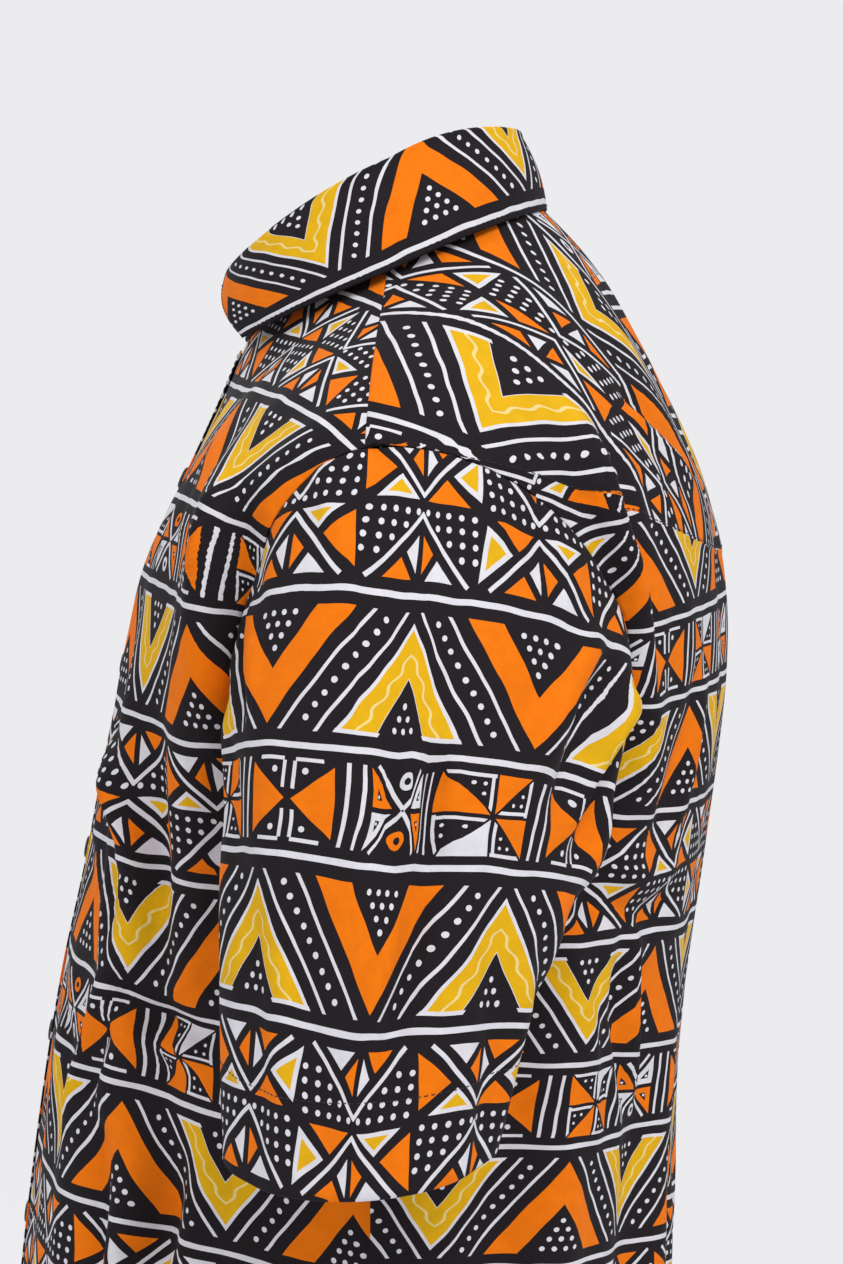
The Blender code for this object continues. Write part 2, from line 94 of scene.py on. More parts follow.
# The body's large folds: start_angle, end_angle, start_row, peak_row, end_row, width_angle, depth
BODY_FOLDS = [
    (54, 57, 2.6, 5.0, 9.5, 5.5, 0.0120),
    (66, 68, 3.8, 6.2, 10.0, 4.8, -0.0110),
    (29, 60, 4.6, 7.6, 16.0, 5.8, 0.0100),
    (39, 71, 5.6, 8.2, 16.0, 5.2, -0.0095),
    (36, 42, 8.6, 10.6, 16.0, 5.0, 0.0050),
    (48, 51, 8.4, 10.4, 16.0, 5.0, -0.0060),
    (13, 17, 8.0, 12.0, 20.0, 6.0, -0.0050),
    (130, 146, 2.4, 5.6, 9.0, 5.2, 0.0110),
    (134, 131, 4.2, 6.4, 9.5, 5.0, -0.0110),
    (113, 112, 7.0, 9.5, 16.0, 7.0, -0.0080),
    (126, 127, 7.2, 9.6, 16.0, 6.0, 0.0070),
    (149, 151, 6.6, 9.8, 18.0, 6.0, -0.0055),
    (160, 164, 7.4, 11.0, 18.0, 7.0, 0.0060),
    (176, 179, 7.0, 12.0, 20.0, 7.0, -0.0050),
    (-53, -56, 2.8, 5.2, 9.8, 6.0, 0.0090),
    (-66, -67, 4.0, 6.2, 10.2, 5.0, -0.0080),
    (-31, -52, 5.0, 8.2, 16.0, 6.5, 0.0075),
    (-42, -64, 6.0, 8.8, 16.0, 5.5, -0.0075),
    (-18, -21, 7.6, 11.4, 18.0, 6.0, 0.0050),
    (-131, -145, 2.6, 5.8, 9.2, 5.5, 0.0085),
    (-134, -132, 4.4, 6.6, 9.8, 5.0, -0.0085),
    (-115, -113, 7.2, 9.8, 16.0, 7.0, -0.0075),
    (-128, -130, 7.4, 9.8, 16.0, 6.0, 0.0070),
    (-152, -149, 7.0, 10.4, 18.0, 6.5, -0.0060),
    (-164, -166, 7.8, 11.4, 18.0, 7.0, 0.0055),
]

# The left cuff: an oval that dips outwards and at its front
CUFF_CENTRE = np.array((0.2620, 0.0010, -0.3890))
CUFF_HALF_WIDTH = 0.058
CUFF_HALF_DEPTH = 0.061
CUFF_OUTWARD_DIP = 0.013
CUFF_FRONT_RISE = -0.002
# How the left sleeve leaves its armhole, and how it reaches its cuff, at its top, under side, front and back
LEAVE_TOP = np.array((0.170, 0.000, -0.160))
LEAVE_UNDER = np.array((0.050, 0.000, -0.115))
LEAVE_FRONT = np.array((0.020, -0.022, -0.020))
LEAVE_BACK = np.array((0.020, 0.042, -0.020))
REACH_TOP = np.array((0.035, -0.015, -0.260))
REACH_UNDER = np.array((0.000, -0.006, -0.110))
REACH_FRONT = np.array((0.000, 0.010, -0.040))
REACH_BACK = np.array((0.000, -0.030, -0.060))

# The sleeves' large folds: start_angle, end_angle, start, end, width_angle, depth
SLEEVE_FOLDS = [
    (-4, 0, 0.30, 1.05, 12, 0.0035),
    (262, 300, 0.18, 0.62, 13, -0.0075),
    (286, 262, 0.10, 0.50, 12, 0.0050),
    (100, 62, 0.15, 0.60, 13, -0.0060),
    (238, 248, 0.35, 1.05, 15, -0.0050),
    (60, 52, 0.45, 1.05, 14, -0.0030),
]

# The collar: rings up the stand, the outer edge of the fall, and the roll between them as steps out and up
STAND_RINGS = np.array([
    (0.0700, -0.0766, 0.0625, -0.0272, 0.0188, 0.0463, 2.0),
    (0.0672, -0.0800, 0.0597, -0.0115, 0.0380, 0.0600, 2.0),
    (0.0655, -0.0832, 0.0570, 0.0030, 0.0555, 0.0715, 2.0),
])
FALL_EDGE = np.array((0.0965, -0.0885, 0.0725, -0.0320, 0.0060, 0.0380, 2.0))
ROLL_STEPS = [
    (-0.0016, 0.0010), (-0.0016, 0.0038), (0.0004, 0.0056), (0.0026, 0.0046), (0.0040, 0.0012),
]
FALL_ROWS = 5
FALL_BULGE = 0.0022
FALL_START_ANGLE = 3.5
POINT_ANGLE = 34.0

# Lines and columns of the shells. Each count is a multiple of FLAT_STEP
FLAT_STEP = 4
SHOULDER_LINES = 40
ARMHOLE_LINES = 48
SKIRT_LINES = 132
BAND_COLUMNS = 8
FRONT_COLUMNS = 72
BACK_COLUMNS = 144
SLEEVE_LINES = 76
SLEEVE_COLUMNS = 128
COLLAR_COLUMNS = 160
STAND_LINES = 20
FALL_LINES = 60

# Hems, in metres: how deep they are turned, how soft the turning's edge is, and how the stitching puckers it.
# The ripples' length, wander and swell are for one radian, and the swing is the wander's size in radians
BODY_HEM = 0.020
CUFF_HEM = 0.042
FOLD_SOFTNESS = 0.0025
HEM_PUCKER = 0.00030
HEM_DIMPLE = 0.00025
PUCKER_WIDTH = 0.0035
PUCKER_FADE = 0.004
RIPPLE_LENGTH = 0.0041
RIPPLE_WANDER = 0.0173
RIPPLE_SWELL = 0.0290
RIPPLE_SWING = 1.7
RIPPLE_START = 0.6
EDGE_PUCKER = 0.4
INSIDE_PUCKER = 0.45

# A crease, in its half widths, the share of its length over which it dies away, and the print
# that it takes up. Its path is smoothed by so many steps between two points
CREASE_STEPS = 6
CREASE_REACH = 3.5
CREASE_SHARPNESS = 1.6
TROUGH_DEPTH = 0.38
TROUGH_PLACE = 1.9
TROUGH_WIDTH = 0.95
CREASE_FADE = 0.3
GATHER = 1.5
GATHER_REACH = 2.2

# The soft drape: its height in metres, and the share of a panel over which it dies away. Its waves: mm
# across, down and of their wander for one radian, and the wander's size. Its swell: mm down and of its wander
# across, and its size
DRAPE_HEIGHT = 0.0017
DRAPE_FADE = 0.10
FINE_WAVE = (8.3, 140.0, 67.0, 1.7)
FINE_SHARE = 0.6
FINE_SWELL = (29.0, 37.0, 1.5)
SWELL_SHARE = 0.4
BROAD_WAVE = (19.0, 43.0, 97.0, 2.0)
# The stiff button band: how far from its middle the creases begin, and over how far they grow
CALM_START = 0.020
CALM_REACH = 0.035

# Stitches, in metres, and how many points of a collar's row are left free at its ends
STITCH_LENGTH = 0.0026
STITCH_GAP = 0.0009
THREAD_RADIUS = 0.00024
STITCH_SINK = 0.00032
THREAD_SIDES = 6
BAND_STITCH = 0.005
COLLAR_STITCH = 0.0022
STAND_STITCH = 0.003
COLLAR_MARGIN = 3

# A button, from the middle of its face round its rim to the middle of its underside: radius, height
BUTTON_OUTLINE = [
    (0.0, 0.0016), (0.0022, 0.00162), (0.0036, 0.0018), (0.0043, 0.00215), (0.0049, 0.0022), (0.0054, 0.0020),
    (0.00575, 0.0014), (0.00568, 0.0009), (0.0052, 0.0003), (0.0042, 0.0), (0.0, 0.0),
]
BUTTON_SIDES = 48
BUTTON_HEIGHT = 0.0022
HOLE_RADIUS = 0.0008
HOLE_PLACE = 0.0019
BUTTON_THREAD_RADIUS = 0.00020
BUTTON_THREAD_LEVEL = 0.0020
STRAND_GAP = 0.00028
BUTTONHOLE = 0.0145
BUTTONHOLE_STITCHES = 26
BUTTONHOLE_LEVEL = -0.0002
BUTTONHOLE_SLIT = 0.00015
BUTTONHOLE_BITE = 0.0014

# How far the print's hand-drawn lines wander, and the size of that wander and of clouds in the dye, in mm
HAND_WANDER = 1.3
WANDER_SIZE = 13.0
DYE_SIZE = 9.0
# The cotton's surface: sizes in mm, heights in metres
THREAD_PITCH = 1.0
WEAVE_HEIGHT = 0.00004
RUMPLE_SIZE = 16.0
RUMPLE_HEIGHT = 0.0012
# How many of the resin's clouds and the thread's twists go to a metre
RESIN_CLOUDS = 420.0
THREAD_TWISTS = 900.0

PRINT_LAYER = "print"

# The inks, by number
BLACK, WHITE, ORANGE, YELLOW, CREAM = 0.0, 1.0, 2.0, 3.0, 4.0
INKS = 5

# The print's rows down the cloth, in mm, as on the sleeves: V and arrow, box, V and arrow, triangle
CHEVRON_HEIGHT = 66.5
BOX_HEIGHT = 45.4
TRIANGLE_HEIGHT = 72.0
BOX_TOP = CHEVRON_HEIGHT
LOWER_CHEVRON_TOP = BOX_TOP + BOX_HEIGHT
TRIANGLE_TOP = LOWER_CHEVRON_TOP + CHEVRON_HEIGHT
PRINT_REPEAT = TRIANGLE_TOP + TRIANGLE_HEIGHT
ROW_LINE_WIDTH = 2.7
# Across the cloth, from the middle of a V to the middle of the next arrow
HALF_PERIOD = 66.4
DOT_RADIUS = 1.35

# Vs and arrows, in mm below their row's top. Places across a leg are counted from the outer edge of the V's
CHEVRON_ENDS = (6.9, 60.3)
LEG_SLOPE = 0.714
V_TIP = 58.2
# Across a V's leg and then an arrow's: where each colour starts, and its ink
LEG_RANGE = 100.0
LEG_STRIPES = [
    (-17.0, ORANGE), (0.0, BLACK), (7.05, WHITE), (9.35, BLACK), (23.85, WHITE), (26.15, BLACK),
    (32.5, WHITE), (34.4, YELLOW), (49.5, WHITE), (51.4, BLACK),
]
# The wandering line in an arrow's leg, which waves by so many radians a mm
CREAM_PLACE = 42.0
CREAM_WIDTH = 1.5
CREAM_WANDER = 1.1
CREAM_RATE = 0.62
# The white edge of an arrow's foot: across the leg, and down the row
FOOT_ACROSS = (32.55, 51.35)
FOOT_DOWN = (58.5, 60.3)
# The dots along a leg
LEG_DOTS_PLACE = 16.7
LEG_DOTS_PITCH = 5.5
LEG_DOTS_ENDS = (7.0, 59.0)
# The dots inside a V and an arrow: shift, pitch across and down with the lean of a row, and bounds
CHEVRON_DOTS_SHIFT = (3.0, 0.4)
CHEVRON_DOTS = (6.0, 5.2, 3.0)
CHEVRON_DOTS_ENDS = (6.0, 60.0)
V_INSIDE = -20.5
ARROW_INSIDE = 54.8

# Boxes, in mm from a box's middle, as in one quarter of it
BOX_PITCH = 53.1
BAR_PLACE = (22.4, 24.1)
BAR_HALF_HEIGHT = 17.2
BAR_LEAN = 0.05
BOW = [(1.5, 0.0), (18.7, -14.8), (18.7, 14.8)]
BOW_BRACKETS = [((2.6, 16.7), (14.6, 16.7)), ((2.3, 4.4), (2.3, 15.9))]
BRACKET_WIDTH = 1.6
BOW_DOT = (7.0, 12.0)
CROSS = ((0.0, 0.6), (14.8, 17.5))
CROSS_WIDTH = 1.8
RING_MIDDLE = (0.0, 11.8)
RING_WALL = (1.5, 3.7)
CORNER = [(18.7, 1.1), (18.7, 16.6), (4.4, 1.1)]
CORNER_RIM = (0.0, 3.0)
CORNER_SPECK = (14.6, 5.4)
CORNER_SPECK_RADIUS = 0.75
# A pinwheel's halves are clear of its diagonals, its middle lines and its edge. Specks fill the open ones,
# between a line along the outer side and one along the middle
WHEEL_OFF_DIAGONAL = (0.7, 19.3)
WHEEL_OFF_MIDDLE = 0.6
WHEEL_EDGE = 17.6
WHEEL_OUTER_LINE = (16.0, 17.6)
WHEEL_MIDDLE_LINE = (1.25, 2.75)
SPECK = (13.4, 5.4)
SPECK_PITCH = 4.2
SPECK_RADIUS = 0.8
SPECK_ENDS = (8.6, 15.4)
SPECK_START = 3.6

# Triangles, in mm from half way down their row and from the middle of a field, or of an arrow
TALL_TRIANGLE = [(-1.7, 4.4), (-15.6, 14.5), (0.3, 28.0)]
TALL_EDGE = 2.3
FLAT_TRIANGLE = [(-6.4, 2.0), (-30.2, 2.0), (-19.1, 12.0)]
FLAT_EDGE = 1.9
FIELD_DOTS_SHIFT = (3.9, 2.9)
FIELD_DOTS = (6.5, 5.7, 0.5)
FIELD_DOTS_ENDS = (-1.0, 25.0)
FIELD_DOTS_START = -2.0
FIELD_DOTS_LIMIT = 26.5
FIELD_DOTS_SLOPE = 1.09
ARROW_STROKE = ((-0.5, 3.4), (28.0, 30.4))
ARROW_WIDTH = 1.9
INNER_TRIANGLE = [(1.6, 12.4), (8.4, 19.3), (1.9, 27.4)]
OUTER_TRIANGLE = [(11.2, 21.6), (20.8, 29.8), (4.6, 29.8)]

# Where each panel lies on the cloth. Its print begins at the flat point (across, down) in mm. Its upright
# lines lean and its rows fall by so much a mm, and a row bows at its middle by so many mm for 100 mm aside,
# and by so many more for 100 mm down. The print grows by a share across, down and above its beginning, and is
# pinched by so many mm at the middle. The turn is -1 where the cloth was turned round.
# across, down, lean, fall, bow, more_bow, wide, high, above, pinch, turn
PRINT_PLACES = {
    "front_left": (122.0, 196.0, 0.10, 0.08, 0.0, 0.0, 0.93, 0.93, 0.93, 0.0, -1),
    "front_band": (122.0, 196.0, 0.10, 0.08, 0.0, 0.0, 0.93, 0.93, 0.93, 0.0, -1),
    "front_right": (-96.0, 210.0, -0.06, -0.04, 0.0, 0.0, 0.93, 0.93, 0.93, 0.0, -1),
    "back": (-33.0, 318.0, -0.10, -0.03, 0.0, 0.0, 0.95, 0.84, 0.84, 0.0, -1),
    "sleeve_left": (23.0, 76.0, -0.088, 0.060, -7.0, -7.0, 1.03, 1.09, 1.24, 6.0, 1),
    "sleeve_right": (-16.0, 92.0, 0.06, -0.050, -6.0, -5.0, 1.03, 1.09, 1.10, 4.0, 1),
    "collar_stand": (12.0, 30.0, 0.0, 0.0, 0.0, 0.0, 0.98, 0.98, 0.98, 0.0, -1),
    "collar_fall": (-35.0, 59.0, 0.0, 0.0, 0.0, 0.0, 0.98, 1.0, 1.0, 0.0, -1),
}
# Over how many mm from the middle a bow turns and a pinch draws in
BOW_ROUNDNESS = 9.0
PINCH_WIDTH = 12.0
# How many mm of cloth the deep fold half way down a sleeve hides on each side of its middle, and where it is
TUCKS = {"sleeve_left": 11.0, "sleeve_right": 7.0}
TUCK_DOWN = 174.0
TUCK_REACH = 33.0

# The yoke ends at this line of the back. It is cut across the cloth, so its rows run over the shoulders and
# down the back. They spread a little, and the print is larger over the shoulders than between them, in mm
YOKE_LINE = 46
YOKE_SPREAD = 600.0
YOKE_LEVEL = 59.0
SHOULDER_START = 157.0
SHOULDER_REACH = 150.0
SHOULDER_GROWTH = 1.4
MIDDLE_GROWTH = 0.85
YOKE_GROWTH = 1.3
YOKE_ROW = 178.4
YOKE_ARROW = 68.3
# Its lapped edge and its stitches, in metres
YOKE_STEP = 0.0006
YOKE_STITCH = 0.0020

# Creases on the flat panels, in mm from the top of the centre line: path, half width, height.
# A front's run from the centre front (0) to the side, and the left sleeve's from its front (below 0) to its
# back
FRONT_CREASES = [
    # beside the sleeve
    ([(165, 70), (176, 100), (183, 135), (184, 176), (186, 215)], 7, 4.0),
    ([(192, 75), (200, 110), (207, 150), (207, 200)], 8, -6.0),
    # the long fold down the side of the chest
    ([(56, 180), (88, 212), (119, 244), (128, 263), (133, 290), (135, 318)], 6, 5.0),
    ([(42, 186), (70, 215), (100, 245), (111, 268), (117, 292), (119, 320)], 7, -6.0),
    # where it breaks over the waist and runs round to the side
    ([(112, 310), (137, 325), (153, 331), (175, 331), (204, 333)], 7, -4.5),
    ([(110, 326), (135, 341), (155, 347), (178, 346), (204, 348)], 6, 3.2),
    ([(136, 312), (127, 336), (116, 365), (109, 404)], 7, -4.0),
    ([(122, 322), (111, 346), (99, 374), (93, 410)], 6, 3.4),
    # below it
    ([(118, 372), (127, 402), (134, 440), (136, 490)], 7, -4.2),
    ([(150, 376), (149, 430), (146, 500)], 8, 3.2),
    ([(172, 386), (167, 430), (160, 475), (158, 530)], 8, -4.4),
    ([(196, 360), (190, 410), (186, 470), (188, 540)], 8, 3.0),
    ([(56, 470), (60, 560), (57, 650), (62, 740)], 12, 3.6),
    ([(96, 455), (106, 560), (112, 660), (108, 760)], 11, -4.2),
    ([(150, 540), (160, 640), (166, 740)], 12, 3.6),
    # across the chest
    ([(62, 66), (80, 92), (92, 130)], 8, -2.2),
    ([(104, 52), (126, 84), (140, 122)], 8, 2.4),
    ([(40, 250), (62, 262), (90, 290)], 8, 2.0),
    ([(34, 330), (62, 350), (84, 378)], 8, -2.4),
]
BACK_CREASES = [
    # down from the shoulder blades
    ([(-148, 104), (-164, 139), (-168, 157), (-166, 177), (-161, 204), (-157, 240)], 7, 5.0),
    ([(-134, 112), (-148, 145), (-152, 175), (-146, 205), (-142, 240), (-145, 276)], 8, -5.0),
    ([(-158, 262), (-166, 306), (-172, 345), (-168, 386)], 8, -5.0),
    ([(-104, 108), (-81, 130), (-38, 164)], 7, -2.6),
    ([(-110, 122), (-88, 142), (-46, 178)], 7, 2.2),
    ([(-82, 240), (-101, 296), (-128, 344)], 10, -2.8),
    ([(-66, 244), (-88, 300), (-112, 350)], 10, 2.8),
    # sagging across the small of the back, and the ripples under it
    ([(-176, 350), (-142, 366), (-105, 369), (-70, 354)], 9, -3.6),
    ([(-172, 333), (-142, 349), (-105, 352), (-76, 340)], 8, 2.8),
    ([(-140, 365), (-138, 410), (-130, 442), (-116, 474)], 6, -4.0),
    ([(-127, 362), (-125, 405), (-117, 442), (-104, 480)], 6, 3.4),
    ([(-168, 400), (-160, 440), (-150, 500)], 8, 3.0),
    ([(-60, 460), (-54, 560), (-60, 720)], 13, -4.2),
    # the right side
    ([(148, 110), (158, 150), (156, 200), (148, 256)], 9, 4.4),
    ([(128, 120), (138, 170), (134, 225), (126, 280)], 9, -4.6),
    ([(96, 112), (72, 138), (34, 160)], 8, -2.4),
    ([(58, 290), (74, 330), (98, 372)], 10, 3.0),
    ([(168, 330), (128, 352), (84, 360), (40, 350)], 10, -3.4),
    ([(150, 368), (112, 380), (70, 378)], 9, 2.6),
    ([(128, 380), (134, 440), (122, 520)], 9, -3.8),
    ([(16, 480), (26, 590), (20, 720)], 14, 3.6),
    ([(92, 470), (98, 590), (90, 720)], 13, -4.2),
    ([(0, 60), (5, 130), (-3, 210)], 13, -1.8),
]
# Pressed down the outside of a sleeve
PRESSED = [
    (31, -20), (29, 58), (28, 100), (22, 144), (25, 176),
    (20, 205), (16, 229), (10, 262), (2, 310), (-3, 372),
]
SLEEVE_CREASES = [
    (PRESSED, 9, 3.6),
    (PRESSED, 3, 1.2),
    ([(37, 138), (33, 168), (34, 204)], 5, -5.5),
    ([(27, 132), (24, 170), (24, 212)], 4, 3.6),
    ([(13, 152), (12, 174), (9, 192)], 4, -2.2),
    ([(33, 196), (28, 229), (22, 258), (15, 292)], 6, -4.0),
    # drawn round the back towards the armpit
    ([(86, 168), (108, 146), (118, 110), (133, 92), (152, 74)], 8, -5.6),
    ([(78, 150), (93, 124), (112, 90), (130, 66)], 8, 4.6),
    ([(112, 196), (132, 150), (146, 124), (160, 104)], 7, -5.0),
    ([(100, 182), (120, 158), (139, 112), (154, 92)], 6, 4.0),
    ([(128, 204), (146, 168), (164, 140)], 7, 3.6),
    ([(96, 216), (108, 238), (112, 272)], 8, -2.8),
    # and round the front
    ([(-94, 66), (-78, 92), (-64, 138)], 7, -3.6),
    ([(-80, 52), (-62, 84), (-50, 128)], 6, 2.8),
    ([(-116, 96), (-100, 126), (-88, 172)], 7, 3.2),
    ([(-58, 186), (-50, 233), (-48, 282), (-52, 345)], 9, -2.6),
    ([(-24, 200), (-26, 250), (-24, 300)], 9, -1.6),
    ([(60, 196), (70, 240), (74, 290), (70, 350)], 9, -2.8),
    ([(90, 232), (94, 270), (90, 340)], 9, 2.6),
    # let go below the shoulder seam
    ([(-26, -4), (-18, 24), (-12, 54)], 6, 1.8),
    ([(4, -10), (6, 18), (2, 44)], 5, -1.4),
    ([(58, 2), (62, 30), (72, 60)], 6, 2.0),
    ([(84, 10), (86, 40), (94, 66)], 6, -2.0),
]

# The stage
TARGET = (0.0, 0.0105, -0.171)
CAMERA_AZIMUTH = 94.0
CAMERA_ELEVATION = 3.0
CAMERA_DISTANCE = 2.5
CAMERA_LENS = 143.5
CAMERA_SENSOR = 36.0
FLOOR_Z = -0.800
FLOOR_RADIUS = 2.2
FLOOR_SIDES = 96
FLOOR_FADE = (0.55, 0.98)
BACKDROP_STRENGTH = 0.96
AMBIENT_STRENGTH = 0.58
# name, azimuth, elevation, distance, size, share of the key's power
SOFT_LIGHTS = [
    ("key", 122.0, 44.0, 2.6, 1.3, 1.0),
    ("front", 30.0, 30.0, 3.0, 2.0, 0.45),
    ("side", 285.0, 32.0, 3.0, 2.0, 0.85),
]


def smooth(share):
    """0 to 1 with level ends."""
    share = np.clip(share, 0.0, 1.0)
    return share * share * (3 - 2 * share)


def mix(a, b, share):
    return a + (b - a) * share


def through(values, places):
    """The smooth curve through evenly spaced rows of values, at places counted from the first row."""
    values = np.asarray(values, float)
    last = len(values) - 1
    places = np.clip(np.asarray(places, float), 0.0, last)
    i = np.minimum(places.astype(int), last - 1)
    t = (places - i).reshape(places.shape + (1,) * (values.ndim - 1))
    padded = np.concatenate([[2 * values[0] - values[1]], values, [2 * values[-1] - values[-2]]])
    before, a, b, after = (padded[i + k] for k in range(4))
    return 0.5 * (
        2 * a
        + (b - before) * t
        + (2 * before - 5 * a + 4 * b - after) * t**2
        + (3 * a - before - 3 * b + after) * t**3
    )


def unit(vectors):
    """Vectors at length one."""
    return vectors / np.maximum(np.linalg.norm(vectors, axis=-1, keepdims=True), 1e-12)


def ring_value(rings, name):
    """One column of rings, by its name."""
    return rings[..., RING_COLUMNS.index(name)]


def ring_points(rings, angles):
    """Points of rings: each an oval in plan that rises and falls from front to side to back."""
    half_width, front_y, back_y, front_z, side_z, back_z, squareness = np.moveaxis(rings, -1, 0)
    across, along = np.sin(np.radians(angles)), np.cos(np.radians(angles))
    power = 2.0 / squareness
    end_y = np.where(along > 0, front_y, back_y)
    tilt = (front_z - back_z) / 2
    bow = (front_z + back_z) / 2 - side_z
    return np.stack([
        np.sign(across) * np.abs(across) ** power * half_width,
        np.abs(along) ** power * end_y,
        side_z + tilt * along + bow * along**2,
    ], -1)


def fold_depth(angles, rows):
    """How far the body's large folds lift the cloth."""
    depth = np.zeros(np.broadcast(angles, rows).shape)
    for start_angle, end_angle, start, peak, end, width, size in BODY_FOLDS:
        swell = smooth((rows - start) / (peak - start)) * smooth((end - rows) / (end - peak))
        centre = mix(start_angle, end_angle, (rows - start) / (min(end, HEM_ROW) - start))
        away = (angles - centre + 180) % 360 - 180
        depth += size * swell * np.exp(-((away / width) ** 2))
    return depth


def body_base(angles, rows):
    return ring_points(through(BODY_SECTIONS, rows), angles)


def body_points(angles, rows, lift=0.0):
    """Points of the worn body, folds and all, lifted off its surface."""
    step = 0.02
    low, high = np.maximum(0.0, rows - step), np.minimum(HEM_ROW, rows + step)
    round_it = body_base(angles + 0.5, rows) - body_base(angles - 0.5, rows)
    down = body_base(angles, high) - body_base(angles, low)
    out = unit(np.cross(down, round_it))
    return body_base(angles, rows) + out * (fold_depth(angles, rows) + lift)[..., None]


def armhole_angle(rows, bite):
    """How far round from the centre front, or back, a panel with this bite reaches at these rows."""
    share = np.clip((rows - SHOULDER_ROW) / (ARMPIT_ROW - SHOULDER_ROW), 0, 1)
    return 90.0 - bite * np.maximum(np.sin(np.pi * share), 0) ** ARMHOLE_ROUNDNESS


def even_rows(start, end, count):
    """Rows from start to end, evenly far apart down the middle of the front."""
    dense = np.linspace(start, end, 400)
    line = body_base(np.zeros_like(dense), dense)
    length = np.concatenate([[0], np.cumsum(np.linalg.norm(np.diff(line, axis=0), axis=1))])
    return np.interp(np.linspace(0, length[-1], count + 1), length, dense)


def panel_lines():
    """A panel's lines from the neck seam to the hem: each one's row at the centre and at the side.

    At the armhole the side ends crowd towards its ends, so that the lines meet its curve evenly.
    """
    shoulder = even_rows(0, SHOULDER_ROW, SHOULDER_LINES)
    share = np.linspace(0, 1, ARMHOLE_LINES + 1)
    armhole = SHOULDER_ROW + (ARMPIT_ROW - SHOULDER_ROW) * share
    crowded = SHOULDER_ROW + (ARMPIT_ROW - SHOULDER_ROW) * (1 - np.cos(np.pi * share)) / 2
    skirt = even_rows(ARMPIT_ROW, HEM_ROW, SKIRT_LINES)
    centre = np.concatenate([shoulder[:-1], armhole, skirt[1:]])
    side = np.concatenate([shoulder[:-1], crowded, skirt[1:]])
    return centre, side


def angle_aside(distance, reach, rings):
    """The angle, in degrees, from an axis to where rings lie this far aside, if they reach so far aside."""
    return np.degrees(np.arcsin((distance / reach) ** (ring_value(rings, "squareness") / 2)))


def side_angle(rows, bite):
    """Where a panel ends: at the armhole, or half a seam's gap short of the side."""
    angles = armhole_angle(rows, bite)
    rings = through(BODY_SECTIONS, rows)
    depth = (ring_value(rings, "back_y") - ring_value(rings, "front_y")) / 2
    return np.where(angles < 90.0, angles, angles - angle_aside(SEAM_GAP / 2, depth, rings))


def front_places():
    """A left front's grid of (angle, row): across its band first, then on to the side."""
    centre, side = panel_lines()
    rings = through(BODY_SECTIONS, centre)
    band = angle_aside(BAND_WIDTH / 2, ring_value(rings, "half_width"), rings)
    edge = side_angle(side, ARMHOLE_FRONT_BITE)
    band_share = np.linspace(-1, 1, BAND_COLUMNS + 1)[:-1]
    share = np.linspace(0, 1, FRONT_COLUMNS + 1)
    angles = np.concatenate([
        band[:, None] * band_share,
        mix(band[:, None], edge[:, None], share),
    ], 1)
    rows = np.concatenate([
        np.repeat(centre[:, None], BAND_COLUMNS, 1),
        mix(centre[:, None], side[:, None], share**2),
    ], 1)
    return angles, rows


def front_left_grid():
    return body_points(*front_places())


def front_right_grid():
    """The right front: it sinks by a layer before it passes under the left front."""
    angles, rows = (values[:, ::-1] for values in front_places())
    before_band = body_base(angles, rows)[..., 0] - BAND_WIDTH / 2
    sink = smooth(1 - (before_band - UNDERLAP_START) / UNDERLAP_BLEND)
    return body_points(-angles, rows, -(CLOTH + LAYER_GAP) * sink)


def back_grid():
    """The back, from the left side to the right."""
    centre, side = panel_lines()
    edge = side_angle(side, ARMHOLE_BACK_BITE)
    share = np.linspace(-1, 1, BACK_COLUMNS + 1)
    angles = 180 + edge[:, None] * share
    rows = mix(centre[:, None], side[:, None], share**2)
    return body_points(angles, rows)


def armhole_points(angles, side):
    """Points of an armhole, as on the left: 0 is the shoulder, 90 in front, 180 the armpit, 270 behind."""
    angles = angles % 360
    front = angles <= 180
    share = np.where(front, angles, 360 - angles) / 180
    rows = mix(SHOULDER_ROW, ARMPIT_ROW, (1 - np.cos(np.pi * share)) / 2)
    edge = armhole_angle(rows, np.where(front, ARMHOLE_FRONT_BITE, ARMHOLE_BACK_BITE))
    points = body_points(side * np.where(front, edge, 180 - edge), rows)
    return points * np.array((side, 1, 1))


def cuff_points(angles):
    out, front = np.cos(np.radians(angles)), np.sin(np.radians(angles))
    rise = CUFF_FRONT_RISE * front - CUFF_OUTWARD_DIP * out
    return CUFF_CENTRE + np.stack([CUFF_HALF_WIDTH * out, -CUFF_HALF_DEPTH * front, rise], -1)


def by_quarter(angles, top, under, front, back):
    """One of four vectors, blended round the sleeve."""
    out, ahead = np.cos(np.radians(angles))[..., None], np.sin(np.radians(angles))[..., None]
    side = np.where(ahead > 0, front, back)
    return top * (1 + out) / 2 + under * (1 - out) / 2 + side * ahead**2


def sleeve_base(angles, along, side):
    """Points of a sleeve, as on the left, before its folds: along is 0 at the armhole and 1 at the cuff."""
    leave = by_quarter(angles, LEAVE_TOP, LEAVE_UNDER, LEAVE_FRONT, LEAVE_BACK)
    reach = by_quarter(angles, REACH_TOP, REACH_UNDER, REACH_FRONT, REACH_BACK)
    start = armhole_points(angles, side) + unit(leave) * ARMHOLE_GAP
    t = along[..., None]
    return (
        start * (2 * t**3 - 3 * t**2 + 1)
        + leave * (t**3 - 2 * t**2 + t)
        + cuff_points(angles) * (3 * t**2 - 2 * t**3)
        + reach * (t**3 - t**2)
    )


def sleeve_fold_depth(angles, along):
    depth = np.zeros(angles.shape)
    for start_angle, end_angle, start, end, width, size in SLEEVE_FOLDS:
        share = (along - start) / (end - start)
        swell = smooth(share * 3) if end > 1 else np.sin(np.pi * np.clip(share, 0, 1))
        away = (angles - mix(start_angle, end_angle, share) + 180) % 360 - 180
        depth += size * swell * (share > 0) * (share < 1) * np.exp(-((away / width) ** 2))
    return depth


